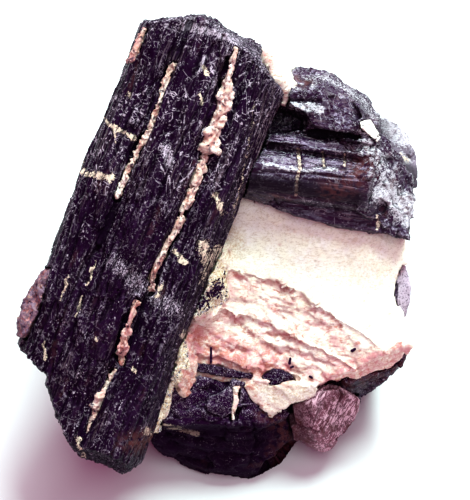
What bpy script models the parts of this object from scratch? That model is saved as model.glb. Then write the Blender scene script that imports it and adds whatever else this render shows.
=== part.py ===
"""A hand specimen of black tourmaline: striated crystals grown together with pale feldspar.

The specimen is laid out in its bed frame, lying on its back: X across its face, Y up its face and Z
out of the face, with the pale feldspar face near Z = 0. The bed is then tipped forward by BED_TIP about
X, which sets the specimen on its flat foot, with Z up and the origin under the middle of its box.

A crystal is drawn standing in its own frame: X across, -Y towards the front and Z along its length.
All lengths here are written in millimetres; MM turns them into metres as each mesh is made.
"""

import math

import bmesh
import bpy
from mathutils import Matrix, Vector, noise

MM = 0.001

# --- driving dimensions, in millimetres and degrees -----------------------------------------------

BED_TIP = 30.0          # how far the face leans back from flat
BED_HEIGHT = 38.0       # the bed frame's origin above the foot
GAP = 0.35              # clear distance between two pieces that touch in the rock
FACET = 7.5             # longest edge of a broken facet

MAIN_PLACE = (-17.0, 6.9, 0.0)   # middle of the main crystal, in the bed frame
MAIN_LEAN = 22.0                 # its lean to the right, seen from the front
MAIN_ENDS = (-56.0, 45.0)        # the uncut prism, along its length
MAIN_STATIONS = 13

REAR_PLACE = (13.0, 20.0, 0.0)   # a point on the rear crystal's upper edge, in the bed frame
REAR_LEAN = 98.0                 # it lies across, its far end a little low
REAR_ENDS = (-19.0, 14.6)
REAR_STATIONS = 7

# Cross-sections of the main crystal as (across, forward), from the left edge round the front and the
# back, each with its height along the crystal.
MAIN_SECTIONS = [
    (5.0, [
        (-15.7, 2.0), (-16.1, 7.0), (-14.8, 12.5), (-12.0, 16.0), (-8.4, 17.4), (-6.6, 15.9),
        (-5.2, 17.8), (-1.5, 18.8), (2.2, 19.6), (4.6, 18.8), (5.6, 16.4), (7.6, 16.2), (9.8, 17.0),
        (12.6, 15.0), (14.6, 11.4), (15.9, 6.5), (15.6, 0.0), (13.2, -5.8), (7.6, -9.8), (0.0, -11.2),
        (-7.6, -9.2), (-13.0, -4.4),
    ]),
    (-22.0, [
        (-14.6, 0.0), (-15.2, 5.0), (-14.8, 10.4), (-12.2, 14.0), (-8.4, 15.6), (-6.8, 14.6),
        (-5.2, 16.0), (-1.5, 17.0), (2.2, 17.2), (4.8, 16.4), (5.9, 14.2), (7.4, 15.6), (9.8, 17.0),
        (12.4, 16.0), (14.2, 13.0), (15.3, 8.0), (15.2, 1.0), (13.4, -5.8), (8.0, -9.8), (0.0, -11.2),
        (-7.6, -9.2), (-12.4, -4.4),
    ]),
    (-40.0, [
        (-14.0, 0.0), (-14.6, 4.0), (-13.8, 8.4), (-11.4, 11.6), (-8.4, 13.0), (-6.8, 12.2),
        (-5.2, 13.4), (-1.5, 14.4), (2.0, 14.4), (3.6, 13.6), (4.8, 11.8), (6.4, 15.2), (9.6, 17.4),
        (12.8, 16.6), (14.8, 13.8), (16.0, 8.6), (16.8, 1.4), (15.4, -5.8), (8.6, -9.8), (0.0, -11.2),
        (-7.6, -9.2), (-12.4, -4.4),
    ]),
]
# The rear crystal's section as (down the face, forward): two ribs over one broad, ledged column.
REAR_SECTION = [
    (-9.4, 0.0), (-7.6, 4.6), (-5.0, 6.4), (-3.6, 5.6), (-3.0, 3.6), (-2.4, 5.8), (-0.8, 7.4),
    (0.1, 6.9), (0.5, 5.0), (1.0, 6.6), (3.8, 9.4), (4.8, 9.6), (7.4, 8.8), (10.2, 6.0), (11.2, 2.0),
    (9.6, -8.0), (1.0, -12.0), (-7.6, -8.0),
]

# Veins of feldspar in the grooves of the main crystal, as (across, height, width) from the top down.
LONG_VEIN = [
    (3.9, 36.4, 0.6), (4.1, 34.1, 0.8), (4.6, 30.7, 1.0), (5.0, 28.1, 2.0), (5.3, 25.3, 2.3),
    (5.4, 22.4, 2.4), (5.6, 19.7, 2.2), (6.0, 16.6, 2.3), (6.0, 14.4, 0.8), (6.05, 12.4, 1.8),
    (6.1, 9.5, 1.6), (6.2, 5.9, 1.8), (6.0, 3.2, 1.6), (6.2, 0.5, 1.4), (6.0, -1.7, 1.2),
    (5.6, -5.0, 1.1), (5.3, -8.0, 1.0), (5.2, -10.1, 1.4), (5.9, -12.4, 1.3), (6.2, -14.0, 0.6),
]
MIDDLE_VEIN = [
    (4.4, -16.2, 0.5), (4.4, -18.6, 0.8), (4.5, -20.6, 1.4), (4.8, -23.4, 1.7), (4.9, -26.0, 2.1),
    (5.5, -28.4, 1.5), (6.2, -29.2, 0.6),
]
FOOT_VEIN = [
    (5.5, -30.7, 0.6), (4.9, -33.5, 0.7), (4.6, -36.2, 1.3), (4.4, -38.0, 1.7), (4.6, -40.0, 1.6),
    (4.7, -42.4, 0.8), (4.8, -44.4, 0.6),
]
SHORT_VEIN = [
    (-6.3, 29.5, 0.7), (-6.8, 27.5, 0.8), (-6.4, 24.6, 0.6), (-6.0, 21.5, 0.7), (-6.1, 17.7, 0.7),
    (-5.9, 15.1, 0.8), (-6.3, 13.2, 1.4), (-6.8, 10.8, 1.4), (-6.9, 7.5, 1.0), (-7.0, 3.8, 0.8),
    (-7.1, 0.5, 0.6),
]
CORNER_VEIN = [(-14.5, 33.6, 0.6), (-14.6, 31.4, 1.1), (-14.6, 29.0, 1.0), (-14.7, 26.8, 0.6)]


# --- frames ---------------------------------------------------------------------------------------

BED = Matrix.Rotation(math.radians(BED_TIP), 4, "X")


def on_foot(x, y, lift=0.0):
    """The bed-frame place of a point that stands over (x, y) at a height of lift above the foot."""
    return tuple(BED.inverted() @ Vector((x, y, lift - BED_HEIGHT)))


def standing(place, lean):
    """Bed-frame matrix of a crystal drawn standing: laid back into the face, then leant to the right."""
    turn = Matrix.Rotation(math.radians(-lean), 4, "Z") @ Matrix.Rotation(math.radians(-90), 4, "X")
    return Matrix.Translation(place) @ turn


# --- making and shaping meshes --------------------------------------------------------------------


def finish_mesh(bm):
    """Triangles with their faces pointing out."""
    bmesh.ops.triangulate(bm, faces=bm.faces)
    bmesh.ops.recalc_face_normals(bm, faces=bm.faces)


def hull(corners):
    """A broken block: the convex hull of its corners."""
    bm = bmesh.new()
    for corner in corners:
        bm.verts.new(Vector(corner) * MM)
    made = bmesh.ops.convex_hull(bm, input=bm.verts)
    spare = made["geom_interior"] + made["geom_unused"]
    inside = {v for v in spare if isinstance(v, bmesh.types.BMVert)}
    bmesh.ops.delete(bm, geom=list(inside), context="VERTS")
    finish_mesh(bm)
    return bm


def prism(sections, heights):
    """A crystal's wall through (across, forward) sections at these heights, closed at both ends."""
    bm = bmesh.new()
    rings = [
        [bm.verts.new(Vector((across, -forward, height)) * MM) for across, forward in section]
        for section, height in zip(sections, heights)
    ]
    count = len(rings[0])
    for lower, upper in zip(rings, rings[1:]):
        for i in range(count):
            j = (i + 1) % count
            bm.faces.new((lower[i], lower[j], upper[j], upper[i]))
    bm.faces.new(rings[0])
    bm.faces.new(rings[-1])
    finish_mesh(bm)
    return bm


def blend_sections(first, last, share):
    return [tuple(a + (b - a) * share for a, b in zip(p, q)) for p, q in zip(first, last)]


def split_facets(bm, longest):
    """Halves every edge that is longer than a facet may be."""
    for _ in range(6):
        long_edges = [e for e in bm.edges if e.calc_length() > longest * MM]
        if not long_edges:
            return
        bmesh.ops.subdivide_edges(bm, edges=long_edges, cuts=1, use_grid_fill=False)
        bmesh.ops.triangulate(bm, faces=bm.faces)


def roughen(bm, depth, grain, seed, stretch=1.0):
    """Moves points in and out by up to about depth. Grain is the size of a lump, stretched along Z."""
    bm.normal_update()
    offset = Vector((seed * 17.3, seed * 7.9, seed * 3.1))
    moves = []
    for v in bm.verts:
        place = Vector((v.co.x, v.co.y, v.co.z / stretch)) / (grain * MM) + offset
        moves.append(v.normal * noise.noise(place) * 2 * depth * MM)
    for v, move in zip(bm.verts, moves):
        v.co += move


def make_object(name, bm, frame, material):
    """A named object from a mesh, placed in the bed by its frame."""
    bmesh.ops.recalc_face_normals(bm, faces=bm.faces)
    mesh = bpy.data.meshes.new(name)
    bm.to_mesh(mesh)
    bm.free()
    mesh.materials.append(material)
    obj = bpy.data.objects.new(name, mesh)
    bpy.context.scene.collection.objects.link(obj)
    obj.parent = bed
    location, turn, _ = frame.decompose()
    obj.location = location * MM
    obj.rotation_mode = "QUATERNION"
    obj.rotation_quaternion = turn
    return obj


def keep_largest(bm):
    """Deletes the crumbs that a cut has left loose."""
    left = set(bm.verts)
    groups = []
    while left:
        group, edge = set(), [left.pop()]
        while edge:
            v = edge.pop()
            group.add(v)
            near = [e.other_vert(v) for e in v.link_edges]
            edge += [n for n in near if n in left]
            left.difference_update(near)
        groups.append(group)
    groups.sort(key=len)
    for group in groups[:-1]:
        bmesh.ops.delete(bm, geom=list(group), context="VERTS")


def combine(target, other, operation):
    """Joins other to target, or cuts it away, and deletes it. Both stay closed."""
    modifier = target.modifiers.new(operation.lower(), "BOOLEAN")
    modifier.object = other
    modifier.operation = operation
    modifier.solver = "MANIFOLD"  # the exact solver drops blocks as rough as these
    bpy.context.view_layer.update()
    graph = bpy.context.evaluated_depsgraph_get()
    made = bpy.data.meshes.new_from_object(target.evaluated_get(graph))
    target.modifiers.clear()
    bm = bmesh.new()
    bm.from_mesh(made)
    keep_largest(bm)
    bmesh.ops.triangulate(bm, faces=bm.faces)
    bm.to_mesh(made)
    bm.free()
    for face in made.polygons:
        face.material_index = 0
    while len(made.materials) > 1:
        made.materials.pop(index=1)
    old = target.data
    made.name = old.name
    target.data = made
    bpy.data.meshes.remove(old)
    bpy.data.objects.remove(other)


def carve(target, corners, frame):
    """Breaks a hollow into target: the hull of these corners is cut away."""
    combine(target, make_object("cutter", hull(corners), frame, stone["dark"]), "DIFFERENCE")


def break_off(target, point, normal, frame):
    """Breaks target off flat along a plane: what lies beyond it is cut away."""
    out = Vector(normal).normalized()
    side = out.orthogonal().normalized() * 80.0
    other = out.cross(side)
    start = Vector(point)
    rim = [start + side, start + other, start - side, start - other]
    carve(target, rim + [place + out * 60.0 for place in rim], frame)


def block(across, depth, heights):
    """Corners of a block between two across values, with its own low and high value at each of them."""
    return [(x, y, z) for x, ends in zip(across, heights) for y in depth for z in ends]


def rough_block(name, corners, longest, depth, grain, seed, material=None):
    """A broken block of rock with a rough surface."""
    bm = hull(corners)
    split_facets(bm, longest)
    roughen(bm, depth, grain, seed)
    return make_object(name, bm, Matrix(), material or stone["dark"])


def grown_copy(piece, distance):
    """A copy of a piece with every point moved out by a distance."""
    grown = piece.copy()
    grown.data = piece.data.copy()
    bpy.context.scene.collection.objects.link(grown)
    bm = bmesh.new()
    bm.from_mesh(grown.data)
    bm.normal_update()
    moves = [v.normal * min(v.calc_shell_factor(), 2.5) * distance * MM for v in bm.verts]
    for v, move in zip(bm.verts, moves):
        v.co += move
    bm.to_mesh(grown.data)
    bm.free()
    return grown


def make_room(target, neighbour):
    """Cuts target back from its neighbour, leaving the gap between them, also where the rock is thin."""
    room = grown_copy(neighbour, GAP)
    combine(room, grown_copy(neighbour, GAP / 3), "UNION")
    combine(target, room, "DIFFERENCE")


# --- materials ------------------------------------------------------------------------------------


def make_material(name, colour, roughness):
    material = bpy.data.materials.new(name)
    material.use_nodes = True
    shader = material.node_tree.nodes["Principled BSDF"]
    shader.inputs["Base Color"].default_value = (*colour, 1.0)
    shader.inputs["Roughness"].default_value = roughness
    shader.inputs["Metallic"].default_value = 0.0
    return material


# --- the crystals ---------------------------------------------------------------------------------


def main_section(height):
    """The main crystal's cross-section at a height along it, between the sections drawn above."""
    for (upper, first), (lower, second) in zip(MAIN_SECTIONS, MAIN_SECTIONS[1:]):
        if height >= lower:
            share = min(max((upper - height) / (upper - lower), 0.0), 1.0)
            return blend_sections(first, second, share)
    return MAIN_SECTIONS[-1][1]


def main_front(across, height):
    """How far forward the main crystal's face stands at one place."""
    front = main_section(height)[2:16]
    for (x0, y0), (x1, y1) in zip(front, front[1:]):
        if x0 <= across <= x1:
            return y0 + (y1 - y0) * (across - x0) / (x1 - x0)
    return front[-1][1]


def main_crystal():
    """The big striated prism: broken across at the top, its left columns ending first at the foot."""
    low, high = MAIN_ENDS
    heights = [low + (high - low) * i / (MAIN_STATIONS - 1) for i in range(MAIN_STATIONS)]
    bm = prism([main_section(height) for height in heights], heights)
    roughen(bm, 0.3, 5.0, 1, stretch=7.0)
    frame = standing(MAIN_PLACE, MAIN_LEAN)
    crystal = make_object("main_crystal", bm, frame, stone["black"])
    breaks = [
        ((0.5, 8.0, 41.0), (0.14, -0.09, 1.0)),       # the broken top, a little lower in front
        ((-16.0, 0.0, 35.4), (-0.52, -0.08, 1.0)),    # its left shoulder
        ((0.5, -19.0, 38.6), (0.45, -0.30, 1.0)),     # its front right edge
        ((10.0, -3.0, -50.0), (0.0, -0.24, -1.0)),    # the foot, turned to the front
        ((10.0, -2.0, -50.0), (0.05, 0.60, -1.0)),
        ((15.2, 0.0, -49.2), (1.0, -0.10, -0.72)),
    ]
    for point, normal in breaks:
        break_off(crystal, point, normal, frame)
    carve(crystal, block((8.8, 24.0), (-26.0, 18.0), ((36.6, 52.0), (27.4, 52.0))), frame)
    carve(crystal, block((-28.0, -6.7), (-26.0, 18.0), ((-62.0, -27.5), (-62.0, -37.2))), frame)
    carve(crystal, block((-7.0, 4.6), (-26.0, 18.0), ((-62.0, -38.4), (-62.0, -49.6))), frame)
    return crystal


def vein(name, path, depth=1.3, proud=0.45):
    """A vein of feldspar along a groove of the main crystal, through (across, height, width) stations."""
    sections = []
    for across, height, width in path:
        face = main_front(across, height)
        half = width / 2
        back = half * 0.55
        crown = face + proud * min(width, 1.0)
        sections.append([
            (across - half, face - 0.3), (across - back, face - depth), (across + back, face - depth),
            (across + half, face - 0.3), (across + half * 0.5, crown), (across - half * 0.5, crown),
        ])
    bm = prism(sections, [height for _, height, _ in path])
    return make_object(name, bm, standing(MAIN_PLACE, MAIN_LEAN), stone["vein"])


def left_crust():
    """The crust of red feldspar that clings to the main crystal's left edge."""
    edge = [(-15.4, -18.6), (-16.3, -22.8), (-17.0, -26.4), (-16.6, -29.4), (-15.4, -31.8)]
    inner = [(-14.0, -17.2), (-13.5, -22.0), (-13.2, -27.0), (-13.6, -31.4)]
    corners = [(x, -y, z) for x, z in edge for y in (3.4, 8.2)]
    corners += [(x + 0.8, -11.4, z) for x, z in edge]
    corners += [(x, -y, z) for x, z in inner for y in (5.0, 12.9)]
    bm = hull(corners)
    split_facets(bm, FACET)
    roughen(bm, 0.2, 3.0, 3)
    return make_object("left_crust", bm, standing(MAIN_PLACE, MAIN_LEAN), stone["red"])


REAR_LUMP = [
    (10.4, 34.4, 3.0), (12.2, 36.5, 1.0), (14.8, 36.7, 0.0), (18.2, 35.7, 2.0), (21.6, 33.8, 1.0),
    (26.4, 30.6, 0.0), (28.8, 26.4, 1.0), (28.6, 21.0, 5.0), (22.0, 22.4, 8.0), (16.0, 24.6, 8.0),
    (10.6, 29.4, 6.5), (11.2, 31.8, 6.4), (17.0, 31.0, 7.5), (24.0, 28.0, 6.5), (13.0, 34.0, -16.0),
    (24.0, 32.0, -18.0), (29.0, 18.0, -18.0), (13.0, 18.0, -16.0),
]
REAR_END = [
    (25.5, 22.0, 5.0), (29.5, 22.4, 2.0), (33.0, 18.6, 1.0), (35.0, 15.0, -1.0), (35.6, 12.4, -1.0),
    (36.0, 8.6, -2.0), (35.4, 6.4, -1.0), (34.6, 3.4, 0.0), (28.0, 4.6, 4.0), (24.0, 8.0, 6.5),
    (25.0, 13.0, 7.6), (27.0, 17.5, 7.0), (31.0, 12.0, 5.0), (26.0, 22.0, -16.0), (33.0, 18.0, -16.0),
    (34.5, 4.0, -14.0), (24.0, 6.0, -14.0),
]
REAR_LEDGE = [
    (-3.0, 12.4, 2.6), (8.0, 11.0, 3.6), (19.0, 9.6, 4.4), (30.0, 11.5, 5.0), (35.2, 10.8, 2.0),
    (34.6, 2.2, 3.0), (31.0, 3.0, 3.6), (24.2, 3.9, 3.6), (20.2, 5.2, 3.4), (12.8, 6.9, 2.8),
    (5.7, 9.6, 1.8), (0.0, 11.4, 1.2), (-3.0, 11.6, -12.0), (34.0, 10.0, -13.0), (34.0, 3.4, -12.0),
    (8.0, 9.0, -12.0),
]
# The dark hollow under the top lump, next to the main crystal.
REAR_POCKET = [
    (3.0, 29.2, 14.0), (10.4, 29.6, 14.0), (14.2, 28.6, 14.0), (16.2, 26.4, 14.0), (15.6, 23.6, 14.0),
    (3.0, 22.6, 14.0), (5.0, 28.0, -5.0), (10.0, 27.6, -3.0), (13.4, 26.0, -1.0), (13.2, 24.0, -1.0),
    (5.0, 23.0, -4.0),
]
# A slanting break across the face of the top lump, and the groove below it.
REAR_BREAK = [
    (17.2, 31.4, 12.0), (23.2, 32.2, 12.0), (26.0, 26.4, 12.0), (24.0, 24.6, 12.0), (18.2, 30.4, 6.0),
    (22.6, 31.0, 4.4), (25.2, 26.4, 4.6), (23.6, 25.4, 5.8),
]
REAR_GROOVE = [
    (13.0, 24.2, 12.0), (25.4, 22.6, 12.0), (25.4, 21.6, 12.0), (13.0, 23.0, 12.0), (13.0, 23.8, 3.4),
    (25.4, 22.4, 3.8), (25.4, 21.8, 3.8), (13.0, 23.2, 3.4),
]


def rear_crystal():
    """The ribbed crystal that lies across the top, with the broken masses grown onto it."""
    low, high = REAR_ENDS
    heights = [low + (high - low) * i / (REAR_STATIONS - 1) for i in range(REAR_STATIONS)]
    bm = prism([REAR_SECTION] * len(heights), heights)
    roughen(bm, 0.22, 4.0, 2, stretch=6.0)
    crystal = make_object("rear_crystal", bm, standing(REAR_PLACE, REAR_LEAN), stone["grey"])
    for number, corners in enumerate((REAR_LUMP, REAR_END, REAR_LEDGE)):
        combine(crystal, rough_block("block", corners, FACET, 0.6, 4.5, 5 + number), "UNION")
    for corners in (REAR_POCKET, REAR_BREAK, REAR_GROOVE):
        carve(crystal, corners, Matrix())
    return crystal


def side_crystal():
    """The small grey crystal at the far right, behind the rear crystal's broken end."""
    corners = [
        (28.6, 26.4, -5.0), (30.8, 26.2, -4.0), (32.8, 25.4, -4.0), (34.8, 23.2, -5.0),
        (34.9, 21.0, -4.5), (36.2, 18.6, -5.0), (36.7, 15.6, -5.0), (36.5, 12.8, -6.0),
        (32.0, 12.4, -5.0), (29.0, 20.0, -5.0), (30.0, 25.0, -17.0), (35.0, 21.0, -18.0),
        (35.6, 13.0, -17.0), (29.0, 13.0, -17.0),
    ]
    return rough_block("side_crystal", corners, FACET, 0.3, 4.0, 11, stone["grey"])


def prong_crystal():
    """The brown, fibrous crystal that juts out low on the right."""
    corners = [
        (11.6, -31.4, -5.0), (15.8, -30.6, -3.8), (17.6, -28.2, -4.0), (20.8, -28.0, -4.4),
        (24.6, -30.2, -8.0), (25.4, -30.6, -10.0), (23.8, -33.8, -10.0), (22.2, -37.2, -11.6),
        (20.0, -40.0, -13.0), (18.0, -41.2, -13.4), (14.8, -40.0, -12.4), (12.2, -38.2, -10.4),
        (16.0, -36.0, -6.2), (20.0, -33.0, -6.4), (12.0, -33.0, -19.0), (17.6, -38.0, -20.0),
        (21.0, -34.0, -20.0), (24.0, -28.0, -20.0), (14.0, -24.0, -20.0),
    ]
    return rough_block("prong_crystal", corners, FACET, 0.35, 4.0, 13, stone["brown"])


def lens_crystal():
    """A thin black crystal lying in the lower left of the feldspar's face."""
    bm = hull([
        (-8.2, -22.9, -4.0), (-6.0, -23.0, -2.6), (-1.0, -24.0, -2.6), (3.6, -25.2, -3.6),
        (3.2, -25.7, -3.8), (-1.6, -25.4, -2.8), (-6.0, -24.6, -2.8), (-7.6, -24.2, -3.2),
        (-7.0, -23.8, -7.0), (2.6, -25.3, -7.0), (-7.4, -23.2, -7.0), (-1.0, -24.2, -7.0),
    ])
    return make_object("lens_crystal", bm, Matrix(), stone["dark"])


def chip_crystal():
    """A short black crystal set in the bottom of the feldspar's face."""
    bm = hull([
        (5.6, -25.4, -4.0), (7.6, -24.0, -2.8), (9.6, -24.0, -2.6), (11.6, -25.4, -2.8),
        (11.8, -26.8, -3.6), (9.4, -26.2, -2.6), (7.4, -27.0, -2.8), (6.4, -26.6, -3.4),
        (6.4, -25.8, -7.0), (11.0, -26.2, -7.0), (8.4, -24.6, -7.0),
    ])
    return make_object("chip_crystal", bm, Matrix(), stone["dark"])


def white_chip():
    """A cleaved chip of white feldspar caught on the rear crystal's broken end."""
    bm = hull([
        (24.8, 25.4, 7.6), (26.8, 25.8, 7.4), (28.9, 22.4, 6.0), (28.2, 21.5, 6.4), (25.0, 24.2, 8.2),
        (25.4, 25.0, 3.0), (28.0, 23.0, 2.0), (26.2, 23.4, 3.0),
    ])
    return make_object("white_chip", bm, Matrix(), stone["white"])


# --- what they grew in ----------------------------------------------------------------------------

FACE_BLOCK = [
    (-3.0, 11.6, -3.4), (13.0, 8.6, -3.0), (26.0, 5.0, -2.6), (33.4, 3.2, -3.4), (34.2, -1.0, -3.8),
    (33.4, -9.0, -3.0), (34.9, -14.0, -3.0), (35.2, -19.0, -3.2), (28.0, -20.4, -0.8),
    (22.4, -24.0, -1.4), (15.0, -27.4, -1.6), (2.0, -28.0, -2.4), (-7.0, -27.0, -2.4),
    (-10.4, -28.4, -2.0), (-11.0, -18.0, -0.6), (-6.0, -8.0, -1.0), (35.2, -20.4, -6.4),
    (32.0, -23.4, -8.0), (25.4, -24.0, -8.0), (20.4, -25.6, -6.0), (-11.0, 11.0, -14.0),
    (31.0, 4.0, -14.0), (31.0, -20.0, -11.0), (14.0, -27.0, -9.0), (-12.0, -26.0, -9.0),
]
# Ledges where the face has cleaved away in steps towards its lower left corner.
FACE_STEPS = [
    [(-5.0, -2.0, 6.0), (11.0, -6.8, 6.0), (23.0, -14.6, 6.0), (34.0, -22.0, 6.0), (30.0, -36.0, 6.0),
     (-13.0, -34.0, 6.0), (-5.0, -2.4, -2.0), (11.0, -7.4, -2.2), (22.6, -15.4, -2.0),
     (33.0, -22.0, -1.2),
     (24.0, -34.0, -2.0), (-13.0, -34.0, -2.6)],
    [(-6.0, -9.6, 6.0), (9.0, -15.0, 6.0), (20.0, -20.4, 6.0), (29.0, -26.0, 6.0), (20.0, -36.0, 6.0),
     (-13.0, -34.0, 6.0), (-6.0, -10.4, -3.0), (9.0, -16.0, -3.1), (19.6, -21.2, -2.8),
     (28.0, -26.0, -2.2),
     (18.0, -34.0, -2.8), (-13.0, -34.0, -3.5)],
    [(-11.0, -19.4, 6.0), (3.0, -22.6, 6.0), (14.0, -25.0, 6.0), (19.0, -29.0, 6.0), (11.0, -36.0, 6.0),
     (-13.0, -34.0, 6.0), (-11.0, -20.2, -3.9), (3.0, -23.4, -4.0), (13.6, -25.8, -3.6),
     (18.0, -29.0, -3.4),
     (10.0, -34.0, -4.4), (-13.0, -34.0, -4.6)],
]
# A notch in the right edge, where the dark crystal behind comes through.
EDGE_NOTCH = [
    (33.4, -2.6, 6.0), (32.0, -6.4, 6.0), (31.6, -10.0, 6.0), (33.8, -14.4, 6.0), (42.0, -8.0, 6.0),
    (33.4, -2.6, -24.0), (32.0, -6.4, -24.0), (31.6, -10.0, -24.0), (33.8, -14.4, -24.0),
    (42.0, -8.0, -24.0),
]
LOWER_FACET = [
    (1.6, -27.6, -3.0), (4.0, -26.0, -2.6), (15.8, -26.6, -2.0), (15.6, -28.8, -3.4),
    (13.4, -30.0, -3.8), (11.2, -31.2, -4.2), (8.2, -32.6, -4.6), (5.9, -32.4, -4.6),
    (4.7, -30.4, -3.8), (3.0, -26.0, -10.0), (14.0, -26.0, -10.0), (6.6, -31.4, -9.0),
]
TOP_VEIN = [
    (4.6, 40.0, -2.0), (6.4, 39.6, 1.0), (8.3, 38.2, 3.0), (9.6, 37.8, 3.0), (11.2, 37.3, 1.0),
    (12.4, 33.4, 3.0), (10.8, 29.2, 4.6), (7.0, 28.6, 4.6), (8.0, 34.0, 6.4), (4.0, 38.0, -18.0),
    (12.0, 36.0, -18.0), (12.0, 26.0, -18.0), (4.0, 26.0, -18.0),
]
# Granular crust banked against the main crystal's right side, and the tongues of feldspar that reach down
# between the main and the lower crystal and across the lower crystal's top.
RIGHT_CRUST = [
    (-9.0, -0.6, 8.0), (-3.6, 0.8, 3.4), (-1.4, -3.0, -0.4), (-1.8, -9.0, -0.8), (-4.4, -12.8, 0.0),
    (-9.4, -13.2, 7.0), (-12.0, -8.0, 9.0), (-6.4, -6.0, 5.4), (-10.0, -1.0, -6.0), (0.4, 1.0, -6.0),
    (0.4, -11.0, -6.0), (-4.0, -15.0, -6.0), (-12.0, -14.0, -6.0),
]
EDGE_CRUST = [
    (-12.6, -16.0, 6.0), (-9.4, -16.6, 2.0), (-9.0, -22.6, 0.8), (-8.6, -26.8, -1.4),
    (-10.2, -29.2, -1.6), (-12.6, -25.4, 1.4), (-13.4, -23.6, 5.0), (-7.0, -16.0, -7.0),
    (-7.0, -25.6, -7.0), (-10.4, -27.6, -8.0), (-16.0, -25.0, -12.0), (-16.0, -16.0, -12.0),
]
JOINT_TONGUE = [
    (-14.0, -23.8, 2.6), (-11.4, -24.2, 1.2), (-13.0, -28.4, 0.0), (-14.6, -32.0, -1.0),
    (-15.2, -36.0, -2.4), (-17.6, -36.4, -1.0), (-17.8, -31.0, 1.0), (-10.6, -20.0, -6.0),
    (-12.6, -27.4, -10.0), (-15.4, -35.8, -9.0), (-18.0, -34.0, -9.0), (-18.0, -22.0, -10.0),
]
LOWER_TONGUE = [
    (-0.6, -27.2, -2.6), (0.9, -27.2, -2.6), (0.7, -30.4, -2.7), (0.1, -34.4, -3.4),
    (-0.5, -34.4, -3.4), (-0.4, -30.4, -2.7), (-0.5, -26.6, -7.0), (0.8, -26.6, -7.0),
    (0.0, -33.8, -6.0),
]


def feldspar_matrix():
    """The pale feldspar: its cleaved face, the vein at the top, the tongues and the body behind."""
    body = [
        (-16.0, 26.0, -9.0), (-4.0, 35.5, -10.0), (12.0, 35.0, -9.0), (26.0, 30.0, -10.0),
        (32.0, 18.0, -8.0), (33.0, 4.0, -8.0), (-12.0, 4.0, -9.0), (-20.0, 12.0, -10.0),
        on_foot(-21.0, 6.0, -3.0), on_foot(-18.0, 27.0, -3.0), on_foot(-6.0, 33.0, -3.0),
        on_foot(14.0, 34.0, -3.0), on_foot(25.0, 26.0, -3.0), on_foot(28.0, 8.0, -3.0),
        on_foot(30.0, 30.0, 26.0), on_foot(-24.0, 22.0, 24.0), on_foot(4.0, 39.0, 30.0),
    ]
    # Cleaved ledges down the back, at right angles to each other.
    right_ledge = ((30.0, -10.0), (31.6, 23.0), (60.0, -10.0), (60.0, 27.0))
    left_ledge = ((28.0, 16.0), (29.6, 60.0), (60.0, 12.0), (60.0, 60.0))
    ledges = [
        [on_foot(x, y, z) for x in (7.0, 60.0) for y, z in right_ledge],
        [on_foot(x, y, z) for x in (-60.0, -9.0) for y, z in left_ledge],
    ]
    matrix = rough_block("feldspar_matrix", FACE_BLOCK, FACET, 0.3, 5.0, 21, stone["feldspar"])
    for corners in FACE_STEPS + [EDGE_NOTCH]:
        carve(matrix, corners, Matrix())
    combine(matrix, rough_block("block", body, FACET * 1.4, 0.8, 9.0, 24), "UNION")
    for corners in ledges:
        carve(matrix, corners, Matrix())
    grown = (LOWER_FACET, TOP_VEIN, RIGHT_CRUST, EDGE_CRUST, JOINT_TONGUE, LOWER_TONGUE)
    for number, corners in enumerate(grown):
        combine(matrix, rough_block("block", corners, FACET, 0.25, 3.0, 40 + number), "UNION")
    return matrix


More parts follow.
